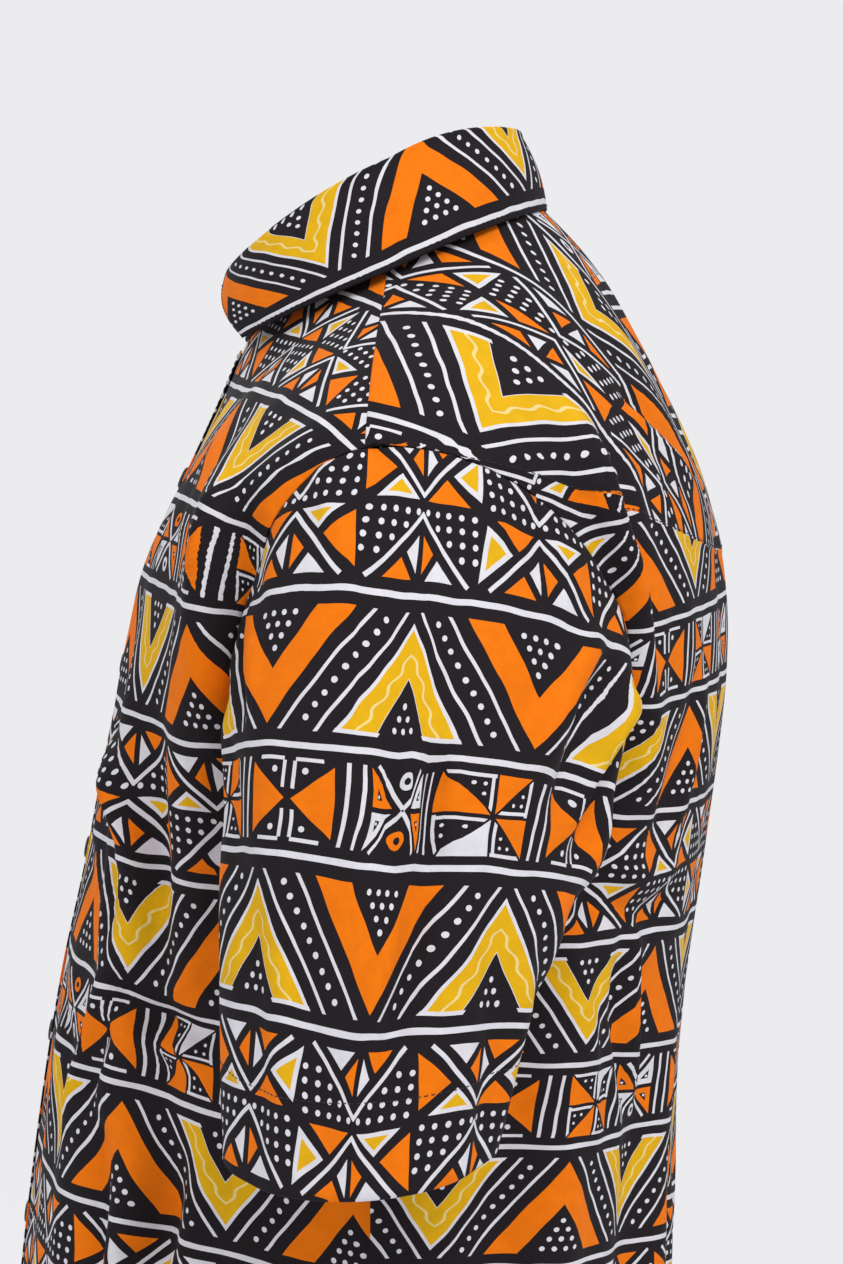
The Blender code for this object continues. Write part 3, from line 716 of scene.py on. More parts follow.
def sleeve_grid(side):
    """A sleeve, as a sheet from its under seam round by the front (on the left) to the seam again."""
    angles = side * np.linspace(180, -180, SLEEVE_COLUMNS + 1)
    along = np.linspace(0, 1, SLEEVE_LINES + 1)
    angles, along = np.broadcast_arrays(angles[None, :], along[:, None])
    step = 0.01
    low, high = np.maximum(0.0, along - step), np.minimum(1.0, along + step)
    round_it = sleeve_base(angles + 1, along, side) - sleeve_base(angles - 1, along, side)
    down = sleeve_base(angles, high, side) - sleeve_base(angles, low, side)
    out = unit(np.cross(round_it, down))
    points = sleeve_base(angles, along, side) + out * sleeve_fold_depth(angles, along)[..., None]
    return points * np.array((side, 1, 1))


def stand_grid():
    """The collar stand, top edge first: its left end laps over its right end."""
    places = np.linspace(len(STAND_RINGS) - 1, 0, STAND_LINES + 1)
    angles = np.linspace(-STAND_LAP_ANGLE, 360 + STAND_LAP_ANGLE, COLLAR_COLUMNS + 1)
    sink = smooth((angles - STAND_SINK_START) / STAND_SINK_ANGLE) * (COLLAR_CLOTH + LAYER_GAP)
    points = ring_points(through(STAND_RINGS, places)[:, None, :], angles[None, :])
    inward = unit(-points * np.array((1, 1, 0)))
    return points + inward * sink[None, :, None]


def moved_ring(ring, out, up):
    """A ring grown outwards and raised."""
    return ring + np.array((out, -out, out, up, up, up, 0.0))


def fall_grid():
    """The collar's fall: up from the stand's top edge, over the roll and down to its outer edge."""
    rings = [moved_ring(STAND_RINGS[-1], out, up) for out, up in ROLL_STEPS]
    over = rings[-1]
    starts = [FALL_START_ANGLE] * len(ROLL_STEPS)
    for i in range(1, FALL_ROWS + 1):
        share = i / FALL_ROWS
        ring = mix(over, FALL_EDGE, share)
        rings.append(moved_ring(ring, FALL_BULGE * math.sin(math.pi * share), 0.0))
        starts.append(mix(FALL_START_ANGLE, POINT_ANGLE, share))
    places = np.linspace(0, len(rings) - 1, FALL_LINES + 1)
    start = through(np.array(starts)[:, None], places)
    angles = mix(start, 360 - start, np.linspace(0, 1, COLLAR_COLUMNS + 1)[None, :])
    return ring_points(through(rings, places)[:, None, :], angles)


def normals(points):
    """The way out of a grid whose columns run to the right and whose rows run down, seen from outside."""
    down, right = np.gradient(points, axis=0), np.gradient(points, axis=1)
    return unit(np.cross(down, right))


def grid_faces(rows, columns):
    """The faces of a grid of points, looking out."""
    place = np.arange(rows * columns).reshape(rows, columns)
    upper, lower = place[:-1], place[1:]
    return np.stack([lower[:, :-1], lower[:, 1:], upper[:, 1:], upper[:, :-1]], -1).reshape(-1, 4)


def cut_flat(points, centre_column):
    """Lays a worn panel flat, as it was cut: each point's (across, down) from the top of its centre column.

    A coarse copy of the grid is unfolded with as little stretch as can be, and the rest lies smoothly between
    its points.
    """
    coarse = points[::FLAT_STEP, ::FLAT_STEP]
    rows, columns = coarse.shape[:2]
    mesh = bpy.data.meshes.new("cut")
    mesh.from_pydata(coarse.reshape(-1, 3).tolist(), [], grid_faces(rows, columns).tolist())
    mesh.uv_layers.new(name="cut")
    panel = bpy.data.objects.new("cut", mesh)
    bpy.context.scene.collection.objects.link(panel)
    bpy.ops.object.select_all(action="DESELECT")
    bpy.context.view_layer.objects.active = panel
    panel.select_set(True)
    bpy.ops.object.mode_set(mode="EDIT")
    bpy.ops.mesh.select_all(action="SELECT")
    bpy.ops.uv.unwrap(method="MINIMUM_STRETCH", margin=0.0)
    bpy.ops.object.mode_set(mode="OBJECT")
    corners = np.zeros(len(mesh.loops) * 2)
    mesh.uv_layers[0].data.foreach_get("uv", corners)
    owner = np.zeros(len(mesh.loops), int)
    mesh.loops.foreach_get("vertex_index", owner)
    flat = np.zeros((rows * columns, 2))
    flat[owner] = corners.reshape(-1, 2)
    flat = flat.reshape(rows, columns, 2)
    bpy.data.objects.remove(panel)
    bpy.data.meshes.remove(mesh)

    flat *= math.sqrt(grid_area(coarse) / grid_area(np.dstack([flat, np.zeros((rows, columns))])))
    middle = flat[:, centre_column // FLAT_STEP]
    down = unit(middle[-1] - middle[0])
    right = np.array((-down[1], down[0]))
    flat = (flat - middle[0]) @ np.stack([right, down], 1)
    if flat[-1, -1, 0] < flat[-1, 0, 0]:
        flat[..., 0] *= -1
    by_rows = through(flat, np.arange(points.shape[0]) / FLAT_STEP)
    by_columns = through(by_rows.swapaxes(0, 1), np.arange(points.shape[1]) / FLAT_STEP)
    return by_columns.swapaxes(0, 1)


def grid_area(points):
    """The area of a grid of points."""
    a, b = points[1:, 1:] - points[:-1, :-1], points[1:, :-1] - points[:-1, 1:]
    return float(np.linalg.norm(np.cross(a, b), axis=-1).sum() / 2)


def along_creases(cut, creases):
    """For each crease: its width and height, the flat points near it, how far aside they lie, and its fade.

    Each crease is a path of points on the flat panel in mm, a half width in mm and a height in mm. It dies
    away at both its ends. The distance aside is a vector across the crease, counted in half widths.
    """
    places = cut * 1000
    for path, width, height in creases:
        line = through(path, np.linspace(0, len(path) - 1, CREASE_STEPS * (len(path) - 1) + 1))
        reach = CREASE_REACH * width
        near = ((places > line.min(0) - reach) & (places < line.max(0) + reach)).all(-1)
        points = places[near]
        starts, steps = line[:-1], np.diff(line, axis=0)
        away = points[:, None, :] - starts
        share = np.clip((away * steps).sum(-1) / (steps**2).sum(-1), 0, 1)
        offset = away - steps * share[..., None]
        nearest = np.linalg.norm(offset, axis=-1).argmin(1)
        picked = np.arange(len(points)), nearest
        along = (nearest + share[picked]) / len(steps)
        fade = smooth(along / CREASE_FADE) * smooth((1 - along) / CREASE_FADE)
        yield width, height, near, offset[picked] / width, fade


def crease_lift(cut, creases):
    """How far creases lift a flat panel's cloth, in metres: up in a ridge and down in a trough.

    The cloth of a crease is taken from both its sides.
    """
    lift = np.zeros(cut.shape[:2])
    for _, height, near, offset, fade in along_creases(cut, creases):
        across = np.linalg.norm(offset, axis=-1)
        trough = TROUGH_DEPTH * np.exp(-(((across - TROUGH_PLACE) / TROUGH_WIDTH) ** 2))
        lift[near] += height / 1000 * (np.exp(-(across**CREASE_SHARPNESS)) - trough) * fade
    return lift


def gathered(cut, creases):
    """The flat points that show once creases have taken up cloth, drawn in from both their sides."""
    shown = cut.copy()
    for width, height, near, offset, fade in along_creases(cut, creases):
        across = np.linalg.norm(offset, axis=-1)
        taken = GATHER * height**2 / width / 1000 * fade * np.exp(-((across / GATHER_REACH) ** 2))
        shown[near] += offset * (taken * np.tanh(across) / np.maximum(across, 1e-6))[:, None]
    return shown


def drape_lift(cut):
    """The cloth's soft, uneven drape, in metres: long waves down a panel that die away at its edges."""
    x, y = cut[..., 0] * 1000, cut[..., 1] * 1000
    fine, broad = (
        np.sin(x / across + y / down + swing * np.sin(y / wander))
        for across, down, wander, swing in (FINE_WAVE, BROAD_WAVE)
    )
    down, wander, swing = FINE_SWELL
    swell = mix(1.0, np.sin(y / down + swing * np.sin(x / wander)), SWELL_SHARE)
    within = 1.0
    for axis, count in enumerate(cut.shape[:2]):
        share = np.expand_dims(np.linspace(0, 1, count), 1 - axis)
        within = within * smooth(np.minimum(share, 1 - share) / DRAPE_FADE)
    return DRAPE_HEIGHT * mix(broad, fine * swell, FINE_SHARE) * within


def edge_distance(points):
    """How far along the cloth each point of a grid lies from its last row."""
    steps = np.linalg.norm(np.diff(points, axis=0), axis=-1)
    total = np.cumsum(steps[::-1], axis=0)[::-1]
    return np.concatenate([total, np.zeros_like(total[:1])])


def hem_pucker(distance, around, depth):
    """The small ripples that a turned hem's stitching draws in the cloth, in metres."""
    wander = RIPPLE_SWING * np.sin(around / RIPPLE_WANDER)
    ripple = np.sin(around / RIPPLE_LENGTH + wander) * np.sin(around / RIPPLE_SWELL + RIPPLE_START)
    line = np.exp(-(((distance - depth) / PUCKER_WIDTH) ** 2))
    turned = smooth((depth - distance) / PUCKER_FADE) * smooth(distance / PUCKER_FADE + EDGE_PUCKER)
    return HEM_PUCKER * ripple * (INSIDE_PUCKER * turned + line) - HEM_DIMPLE * line


def panel(grid, centre_column, creases, hem=0.0, calm=None):
    """A panel's worn points with its creases and hem, its flat points, and how thick its wall is."""
    cut = cut_flat(grid, centre_column)
    lift = crease_lift(cut, creases) + drape_lift(cut)
    thickness = np.full(grid.shape[:2], bpy.context.scene.shirt_cloth.wall)
    if hem:
        distance = edge_distance(grid)
        lift += hem_pucker(distance, cut[..., 0], hem)
        thickness = thickness * (1 + smooth((hem - distance) / FOLD_SOFTNESS))
    if calm is not None:
        lift *= calm(cut[..., 0])
    return grid + normals(grid) * lift[..., None], cut, thickness


def border_places(rows, columns):
    """The places of a grid's border, once round: along the top, down, back along the bottom and up."""
    top = [(0, j) for j in range(columns - 1)]
    right = [(i, columns - 1) for i in range(rows - 1)]
    bottom = [(rows - 1, j) for j in range(columns - 1, 0, -1)]
    left = [(i, 0) for i in range(rows - 1, 0, -1)]
    return np.array(top + right + bottom + left)


def shell_object(name, points, print_places, thickness, cotton, upper_print=None):
    """A cloth piece: a closed wall behind a grid of outer points, with rounded edges and print coordinates.

    A panel that joins two pieces of cloth has another print above one of its lines: (line, coordinates).
    """
    rows, columns = points.shape[:2]
    inner = points - normals(points) * thickness[..., None]
    border = border_places(rows, columns)
    i, j = border.T
    next_in = np.clip(i, 1, rows - 2), np.clip(j, 1, columns - 2)
    outward = unit(points[i, j] - points[next_in])
    rim = (points[i, j] + inner[i, j]) / 2 + outward * thickness[i, j][:, None] / 2
    vertices = np.concatenate([points.reshape(-1, 3), inner.reshape(-1, 3), rim])
    count = rows * columns
    outer_ring = i * columns + j
    rim_ring = 2 * count + np.arange(len(border))
    inner_ring = outer_ring + count
    faces = [grid_faces(rows, columns), grid_faces(rows, columns)[:, ::-1] + count]
    for front, behind in ((outer_ring, rim_ring), (rim_ring, inner_ring)):
        faces.append(np.stack([front, np.roll(front, -1), np.roll(behind, -1), behind], -1))
    faces = np.concatenate(faces)
    mesh = bpy.data.meshes.new(name)
    mesh.from_pydata(vertices.tolist(), [], faces.tolist())
    corners = everywhere(print_places, i, j)[faces]
    if upper_print:
        line, upper_places = upper_print
        lines = np.broadcast_to(np.arange(rows)[:, None, None], (rows, columns, 1))
        above = everywhere(lines, i, j)[faces].max(axis=1) <= line
        corners = np.where(above[:, None], everywhere(upper_places, i, j)[faces], corners)
    mesh.uv_layers.new(name=PRINT_LAYER).data.foreach_set("uv", corners.ravel())
    mesh.shade_smooth()
    mesh.materials.append(cotton)
    return new_object(name, mesh)


def everywhere(values, i, j):
    """A grid's values for a shell's points: its outer ones, its inner ones, and its rim at (i, j)."""
    flat = values.reshape(-1, values.shape[-1])
    return np.concatenate([flat, flat, values[i, j]])


def new_object(name, data):
    """A new object in the scene."""
    piece = bpy.data.objects.new(name, data)
    bpy.context.scene.collection.objects.link(piece)
    return piece


def dress(piece, node):
    """Makes a piece ride on the shirt and stand for its solid."""
    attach(piece, "root")
    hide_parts(node)


def declare_sheet(cut):
    """Works out the size that a piece of cloth was cut to; nothing is done with it."""
    across = float(np.ptp(cut[..., 0]))
    down = float(np.ptp(cut[..., 1]))
    area = grid_area(np.dstack([cut, np.zeros(cut.shape[:2])]))


def linear(hex_colour):
    """A linear RGBA colour from an sRGB hex value."""
    values = [int(hex_colour[i : i + 2], 16) / 255 for i in (0, 2, 4)]
    return [v / 12.92 if v <= 0.04045 else ((v + 0.055) / 1.055) ** 2.4 for v in values] + [1.0]


def add(tree, kind, *inputs, output=None, **settings):
    """Adds a node with its settings, and gives its inputs values or links.

    The kind may name the node's operation after a colon. Returns the node's first output, or a named one.
    """
    kind, _, operation = kind.partition(":")
    node = tree.nodes.new("ShaderNode" + kind)
    if operation:
        node.operation = operation
    for name, value in settings.items():
        setattr(node, name, value)
    for socket, value in zip(node.inputs, inputs):
        if isinstance(value, bpy.types.NodeSocket):
            tree.links.new(value, socket)
        elif value is not None:
            socket.default_value = value
    if output:
        return node.outputs[output]
    return next((socket for socket in node.outputs if socket.enabled), None)


def printed(tree, ink, colour, *masks):
    """The ink so far with a shape printed on it where every mask is 1. The shapes don't overlap."""
    shape = masks[0]
    for mask in masks[1:]:
        shape = add(tree, "Math:MULTIPLY", shape, mask)
    return add(tree, "Math:MULTIPLY_ADD", shape, colour, ink)


def stretch(ends):
    """A stretch between two ends as its middle and half its length."""
    start, end = ends
    return (start + end) / 2, (end - start) / 2


def inside(tree, place, corners):
    """How far inside a straight-sided shape a place (x, y, 1) lies, in mm."""
    area = sum(ax * by - bx * ay for (ax, ay), (bx, by) in zip(corners, corners[1:] + corners[:1]))
    turn = math.copysign(1, area)
    depth = None
    for (ax, ay), (bx, by) in zip(corners, corners[1:] + corners[:1]):
        length = math.hypot(bx - ax, by - ay)
        across, down = -turn * (by - ay) / length, turn * (bx - ax) / length
        side = add(tree, "VectorMath:DOT_PRODUCT", place, (across, down, -across * ax - down * ay))
        depth = side if depth is None else add(tree, "Math:MINIMUM", depth, side)
    return depth


def stroke(tree, place, start, end, width):
    """1 on a straight stroke between two points, and 0 beside it."""
    (ax, ay), (bx, by) = start, end
    length = math.hypot(bx - ax, by - ay)
    dx, dy = (bx - ax) / length, (by - ay) / length
    across = add(tree, "VectorMath:DOT_PRODUCT", place, (-dy, dx, ax * dy - ay * dx))
    along = add(tree, "VectorMath:DOT_PRODUCT", place, (dx, dy, -ax * dx - ay * dy))
    near = add(tree, "Math:COMPARE", across, 0.0, width / 2)
    between = add(tree, "Math:COMPARE", along, length / 2, length / 2)
    return add(tree, "Math:MULTIPLY", near, between)


def dot(tree, place, middle, radius=DOT_RADIUS):
    """1 on a dot, and 0 round it."""
    return add(tree, "Math:LESS_THAN", add(tree, "VectorMath:DISTANCE", place, (*middle, 1.0)), radius)


def dot_grid(tree, x, y, shift, pitch_x, pitch_y, lean):
    """Rows of dots that lean by so much a row: 1 on a dot, and the middle (x, y) of the nearest one."""
    x, y = (add(tree, "Math:ADD", value, part) for value, part in zip((x, y), shift))
    down = add(tree, "Math:WRAP", y, pitch_y / 2, -pitch_y / 2)
    middle_y = add(tree, "Math:SUBTRACT", y, down)
    leaning = add(tree, "Math:MULTIPLY_ADD", middle_y, lean / pitch_y, x)
    across = add(tree, "Math:WRAP", leaning, pitch_x / 2, -pitch_x / 2)
    middle_x = add(tree, "Math:SUBTRACT", x, across)
    reach = add(tree, "VectorMath:LENGTH", add(tree, "CombineXYZ", across, down))
    return add(tree, "Math:LESS_THAN", reach, DOT_RADIUS), middle_x, middle_y


def leg_place(tree, x, y):
    """How far outside the outer edge of a V's leg a place lies, in mm across the cloth."""
    folded = add(tree, "Math:PINGPONG", x, HALF_PERIOD)
    return add(tree, "Math:ADD", folded, add(tree, "Math:MULTIPLY_ADD", y, LEG_SLOPE, -LEG_SLOPE * V_TIP))


def chevron_row(tree, x, y):
    """The row of broad orange Vs and yellow arrows. x is 0 in the middle of a V, and y at the row's top."""
    leg = leg_place(tree, x, y)
    stripes = add(tree, "ValToRGB", add(tree, "Math:MULTIPLY_ADD", leg, 1 / LEG_RANGE, 0.5))
    steps = [(0.0, BLACK)] + [(0.5 + start / LEG_RANGE, ink) for start, ink in LEG_STRIPES]
    sharp_steps(stripes.node, [(start, (ink / INKS,) * 3) for start, ink in steps])
    ink = add(tree, "Math:MULTIPLY", stripes, float(INKS))
    # The cream line wanders down the middle of an arrow's leg
    wave = add(tree, "Math:SINE", add(tree, "Math:MULTIPLY", y, CREAM_RATE))
    middle = add(tree, "Math:MULTIPLY_ADD", wave, CREAM_WANDER, CREAM_PLACE)
    ink = printed(tree, ink, CREAM - YELLOW, add(tree, "Math:COMPARE", leg, middle, CREAM_WIDTH / 2))
    ink = add(tree, "Math:MULTIPLY", ink, add(tree, "Math:COMPARE", y, *stretch(CHEVRON_ENDS)))
    # An arrow's feet are edged with white
    foot = (
        add(tree, "Math:COMPARE", leg, *stretch(FOOT_ACROSS)),
        add(tree, "Math:COMPARE", y, *stretch(FOOT_DOWN)),
    )
    ink = printed(tree, ink, add(tree, "Math:SUBTRACT", WHITE, ink), *foot)
    # A row of dots along each leg, between its two white lines
    off = add(tree, "Math:WRAP", y, LEG_DOTS_PITCH / 2, -LEG_DOTS_PITCH / 2)
    beside = add(tree, "Math:MULTIPLY_ADD", off, -LEG_SLOPE, add(tree, "Math:SUBTRACT", leg, LEG_DOTS_PLACE))
    reach = add(tree, "VectorMath:LENGTH", add(tree, "CombineXYZ", beside, off))
    in_row = add(tree, "Math:COMPARE", add(tree, "Math:SUBTRACT", y, off), *stretch(LEG_DOTS_ENDS))
    ink = printed(tree, ink, WHITE, add(tree, "Math:LESS_THAN", reach, DOT_RADIUS), in_row)
    # Dots fill the inside of the V and the foot of the arrow
    dots, middle_x, middle_y = dot_grid(tree, x, y, CHEVRON_DOTS_SHIFT, *CHEVRON_DOTS)
    middle = leg_place(tree, add(tree, "Math:SUBTRACT", middle_x, CHEVRON_DOTS_SHIFT[0]), middle_y)
    in_v = add(tree, "Math:LESS_THAN", middle, V_INSIDE)
    filled = add(tree, "Math:ADD", in_v, add(tree, "Math:GREATER_THAN", middle, ARROW_INSIDE))
    in_row = add(tree, "Math:COMPARE", middle_y, *stretch(CHEVRON_DOTS_ENDS))
    return printed(tree, ink, WHITE, dots, filled, in_row)


def sharp_steps(ramp, steps):
    """Gives a colour ramp sharp steps: where each starts, from 0 to 1, and its colour."""
    ramp.color_ramp.interpolation = "CONSTANT"
    elements = ramp.color_ramp.elements
    while len(elements) < len(steps):
        elements.new(1.0)
    for element, (start, colour) in zip(elements, steps):
        element.position = start
        element.color = (*colour, 1.0)


def bow_tie(tree, place):
    """A box with an orange bow tie between bracketed dots."""
    ink = printed(tree, 0.0, ORANGE, add(tree, "Math:GREATER_THAN", inside(tree, place, BOW), 0.0))
    for start, end in BOW_BRACKETS:
        ink = printed(tree, ink, WHITE, stroke(tree, place, start, end, BRACKET_WIDTH))
    return printed(tree, ink, WHITE, dot(tree, place, BOW_DOT))


def ring_box(tree, place, product, below):
    """A box with a ring above and below crossed white lines, and a hollow corner on each side of them.

    The product of a place's distances right and down from the middle tells the corners' colours, and whether
    it lies below the middle tells the rings'.
    """
    ink = stroke(tree, place, *CROSS, CROSS_WIDTH)
    reach = add(tree, "VectorMath:DISTANCE", place, (*RING_MIDDLE, 1.0))
    ring = add(tree, "Math:COMPARE", reach, *stretch(RING_WALL))
    ink = printed(tree, ink, add(tree, "Math:ADD", below, WHITE), ring)
    rim = add(tree, "Math:COMPARE", inside(tree, place, CORNER), *stretch(CORNER_RIM))
    same_sign = add(tree, "Math:GREATER_THAN", product, 0.0)
    ink = printed(tree, ink, add(tree, "Math:ADD", same_sign, WHITE), rim)
    return printed(tree, ink, WHITE, dot(tree, place, CORNER_SPECK, CORNER_SPECK_RADIUS))


def pinwheel(tree, ax, ay, product, below):
    """A box cut by its diagonals and its middle lines, each quarter half filled and half dotted.

    ax and ay are a place's distances from the box's middle, and the nearer of its middle lines is near.
    """
    upright = add(tree, "Math:GREATER_THAN", ay, ax)
    near = add(tree, "Math:MINIMUM", ax, ay)
    far = add(tree, "Math:MAXIMUM", ax, ay)
    side = add(tree, "Math:MULTIPLY_ADD", upright, -2.0, 1.0)
    turned = add(tree, "Math:MULTIPLY", add(tree, "Math:SIGN", product), side)
    filled = add(tree, "Math:GREATER_THAN", turned, 0.0)
    solid = (
        add(tree, "Math:COMPARE", add(tree, "Math:SUBTRACT", far, near), *stretch(WHEEL_OFF_DIAGONAL)),
        add(tree, "Math:GREATER_THAN", near, WHEEL_OFF_MIDDLE),
        add(tree, "Math:LESS_THAN", far, WHEEL_EDGE),
    )
    bottom = add(tree, "Math:MULTIPLY", upright, below)
    ink = printed(tree, 0.0, add(tree, "Math:SUBTRACT", ORANGE, bottom), filled, *solid)
    # The other half of each quarter has white lines along its outer and middle sides, and three specks
    line = add(
        tree, "Math:MAXIMUM",
        add(tree, "Math:COMPARE", far, *stretch(WHEEL_OUTER_LINE)),
        add(tree, "Math:COMPARE", near, *stretch(WHEEL_MIDDLE_LINE)),
    )
    off_far, off_near = (
        add(tree, "Math:WRAP", add(tree, "Math:SUBTRACT", value, middle), SPECK_PITCH / 2, -SPECK_PITCH / 2)
        for value, middle in zip((far, near), SPECK)
    )
    reach = add(tree, "VectorMath:LENGTH", add(tree, "CombineXYZ", off_far, off_near))
    specks = printed(
        tree, 0.0, WHITE,
        add(tree, "Math:LESS_THAN", reach, SPECK_RADIUS),
        add(tree, "Math:COMPARE", far, *stretch(SPECK_ENDS)),
        add(tree, "Math:GREATER_THAN", near, SPECK_START),
    )
    marks = add(tree, "Math:MAXIMUM", line, specks)
    return printed(tree, ink, WHITE, marks, add(tree, "Math:SUBTRACT", 1.0, filled), *solid)


def box_row(tree, x, y):
    """The row of boxes: ring, pinwheel and bow tie in turn, with two bars between them. y is 0 half way."""
    across = add(tree, "Math:WRAP", x, BOX_PITCH / 2, -BOX_PITCH / 2)
    count = add(tree, "Math:DIVIDE", add(tree, "Math:SUBTRACT", x, across), BOX_PITCH)
    turn = add(tree, "Math:ROUND", add(tree, "Math:WRAP", count, 2.5, -0.5))
    ax, ay = add(tree, "Math:ABSOLUTE", across), add(tree, "Math:ABSOLUTE", y)
    place = add(tree, "CombineXYZ", ax, ay, 1.0)
    product = add(tree, "Math:MULTIPLY", across, y)
    below = add(tree, "Math:GREATER_THAN", y, 0.0)
    boxes = (
        ring_box(tree, place, product, below),
        pinwheel(tree, ax, ay, product, below),
        bow_tie(tree, place),
    )
    ink = 0.0
    for number, box in enumerate(boxes):
        ink = printed(tree, ink, box, add(tree, "Math:COMPARE", turn, float(number), 0.1))
    leaning = add(tree, "Math:ABSOLUTE", add(tree, "Math:MULTIPLY_ADD", y, BAR_LEAN, across))
    bar = add(tree, "Math:COMPARE", leaning, *stretch(BAR_PLACE))
    return printed(tree, ink, WHITE, bar, add(tree, "Math:LESS_THAN", ay, BAR_HALF_HEIGHT))


def triangle_row(tree, x, y):
    """The row of triangles: fans of four under white arrows, and pairs of larger ones between fields of dots.

    x is 0 in the middle of an arrow, and y is 0 half way down. Every other field is mirrored.
    """
    half = HALF_PERIOD / 2
    from_field = add(tree, "Math:SUBTRACT", x, half)
    across = add(tree, "Math:WRAP", from_field, half, -half)
    count = add(tree, "Math:DIVIDE", add(tree, "Math:SUBTRACT", from_field, across), HALF_PERIOD)
    mirrored = add(tree, "Math:LESS_THAN", add(tree, "Math:WRAP", count, 1.5, -0.5), 0.5)
    upper = add(tree, "Math:LESS_THAN", y, 0.0)
    ay = add(tree, "Math:ABSOLUTE", y)
    # Every field looks the same from above and below, turned by half a turn
    flipped = add(tree, "Math:COMPARE", mirrored, upper, 0.5)
    local_x = add(tree, "Math:MULTIPLY", across, add(tree, "Math:MULTIPLY_ADD", flipped, -2.0, 1.0))
    place = add(tree, "CombineXYZ", local_x, ay, 1.0)
    # A yellow triangle has a white edge and an orange one none, and they change places in a mirrored field
    plain, edged = [], []
    for corners, edge in ((TALL_TRIANGLE, TALL_EDGE), (FLAT_TRIANGLE, FLAT_EDGE)):
        depth = inside(tree, place, corners)
        plain.append(add(tree, "Math:GREATER_THAN", depth, 0.0))
        core = add(tree, "Math:GREATER_THAN", depth, edge)
        edged.append(printed(tree, plain[-1], YELLOW - WHITE, core))
    (tall, flat), (edged_tall, edged_flat) = plain, edged
    pair = printed(tree, edged_tall, ORANGE, flat)
    mirrored_pair = printed(tree, edged_flat, ORANGE, tall)
    ink = printed(tree, pair, add(tree, "Math:SUBTRACT", mirrored_pair, pair), mirrored)
    # Dots between the arrows, fewer in each row outwards
    shift = [-part for part in FIELD_DOTS_SHIFT]
    dots, middle_x, middle_y = dot_grid(tree, local_x, ay, shift, *FIELD_DOTS)
    limit = add(tree, "Math:MULTIPLY_ADD", middle_y, FIELD_DOTS_SLOPE, middle_x)
    ink = printed(
        tree, ink, WHITE, dots,
        add(tree, "Math:GREATER_THAN", middle_x, FIELD_DOTS_START),
        add(tree, "Math:LESS_THAN", limit, FIELD_DOTS_LIMIT),
        add(tree, "Math:COMPARE", middle_y, *stretch(FIELD_DOTS_ENDS)),
    )
    # The arrows and the fans under them
    from_arrow = add(tree, "Math:WRAP", x, half, -half)
    place = add(tree, "CombineXYZ", add(tree, "Math:ABSOLUTE", from_arrow), ay, 1.0)
    ink = printed(tree, ink, WHITE, stroke(tree, place, *ARROW_STROKE, ARROW_WIDTH))
    swapped = add(tree, "Math:COMPARE", add(tree, "Math:LESS_THAN", from_arrow, 0.0), upper, 0.5)
    inner, outer = (
        add(tree, "Math:GREATER_THAN", inside(tree, place, corners), 0.0)
        for corners in (INNER_TRIANGLE, OUTER_TRIANGLE)
    )
    ink = printed(tree, ink, add(tree, "Math:ADD", swapped, WHITE), inner)
    return printed(tree, ink, add(tree, "Math:SUBTRACT", ORANGE, swapped), outer)


def print_ink(tree, place):
    """The number of the ink at a place on the cloth, in mm."""
    x, y = (add(tree, "SeparateXYZ", place, output=name) for name in "XY")
    down = add(tree, "Math:WRAP", y, PRINT_REPEAT, 0.0)
    # Each repeat down the cloth moves across by half a period
    repeat = add(tree, "Math:SUBTRACT", y, down)
    x = add(tree, "Math:MULTIPLY_ADD", repeat, HALF_PERIOD / PRINT_REPEAT, x)
    lower = add(tree, "Math:GREATER_THAN", down, LOWER_CHEVRON_TOP)
    chevron_y = add(tree, "Math:MULTIPLY_ADD", lower, -LOWER_CHEVRON_TOP, down)
    chevron_x = add(tree, "Math:MULTIPLY_ADD", lower, -HALF_PERIOD, add(tree, "Math:ADD", x, HALF_PERIOD))
    ink = chevron_row(tree, chevron_x, chevron_y)
    rows = (box_row, BOX_TOP, LOWER_CHEVRON_TOP), (triangle_row, TRIANGLE_TOP, PRINT_REPEAT)
    for row, top, bottom in rows:
        middle, half = stretch((top, bottom))
        row_ink = row(tree, x, add(tree, "Math:SUBTRACT", down, middle))
        in_row = add(tree, "Math:COMPARE", down, middle, half)
        ink = printed(tree, ink, add(tree, "Math:SUBTRACT", row_ink, ink), in_row)
    for top in (0.0, BOX_TOP, LOWER_CHEVRON_TOP, TRIANGLE_TOP, PRINT_REPEAT):
        line = add(tree, "Math:COMPARE", down, top, ROW_LINE_WIDTH / 2)
        ink = add(tree, "Math:MAXIMUM", ink, line)
    return ink


def shader_material(name, **values):
    """A new material's tree and its shader, with these values on the shader's own sockets."""
    made = bpy.data.materials.new(name)
    made.use_nodes = True
    tree = made.node_tree
    shader = tree.nodes["Principled BSDF"]
    for socket, value in values.items():
        shader.inputs[socket.replace("_", " ")].default_value = value
    return made, tree, shader


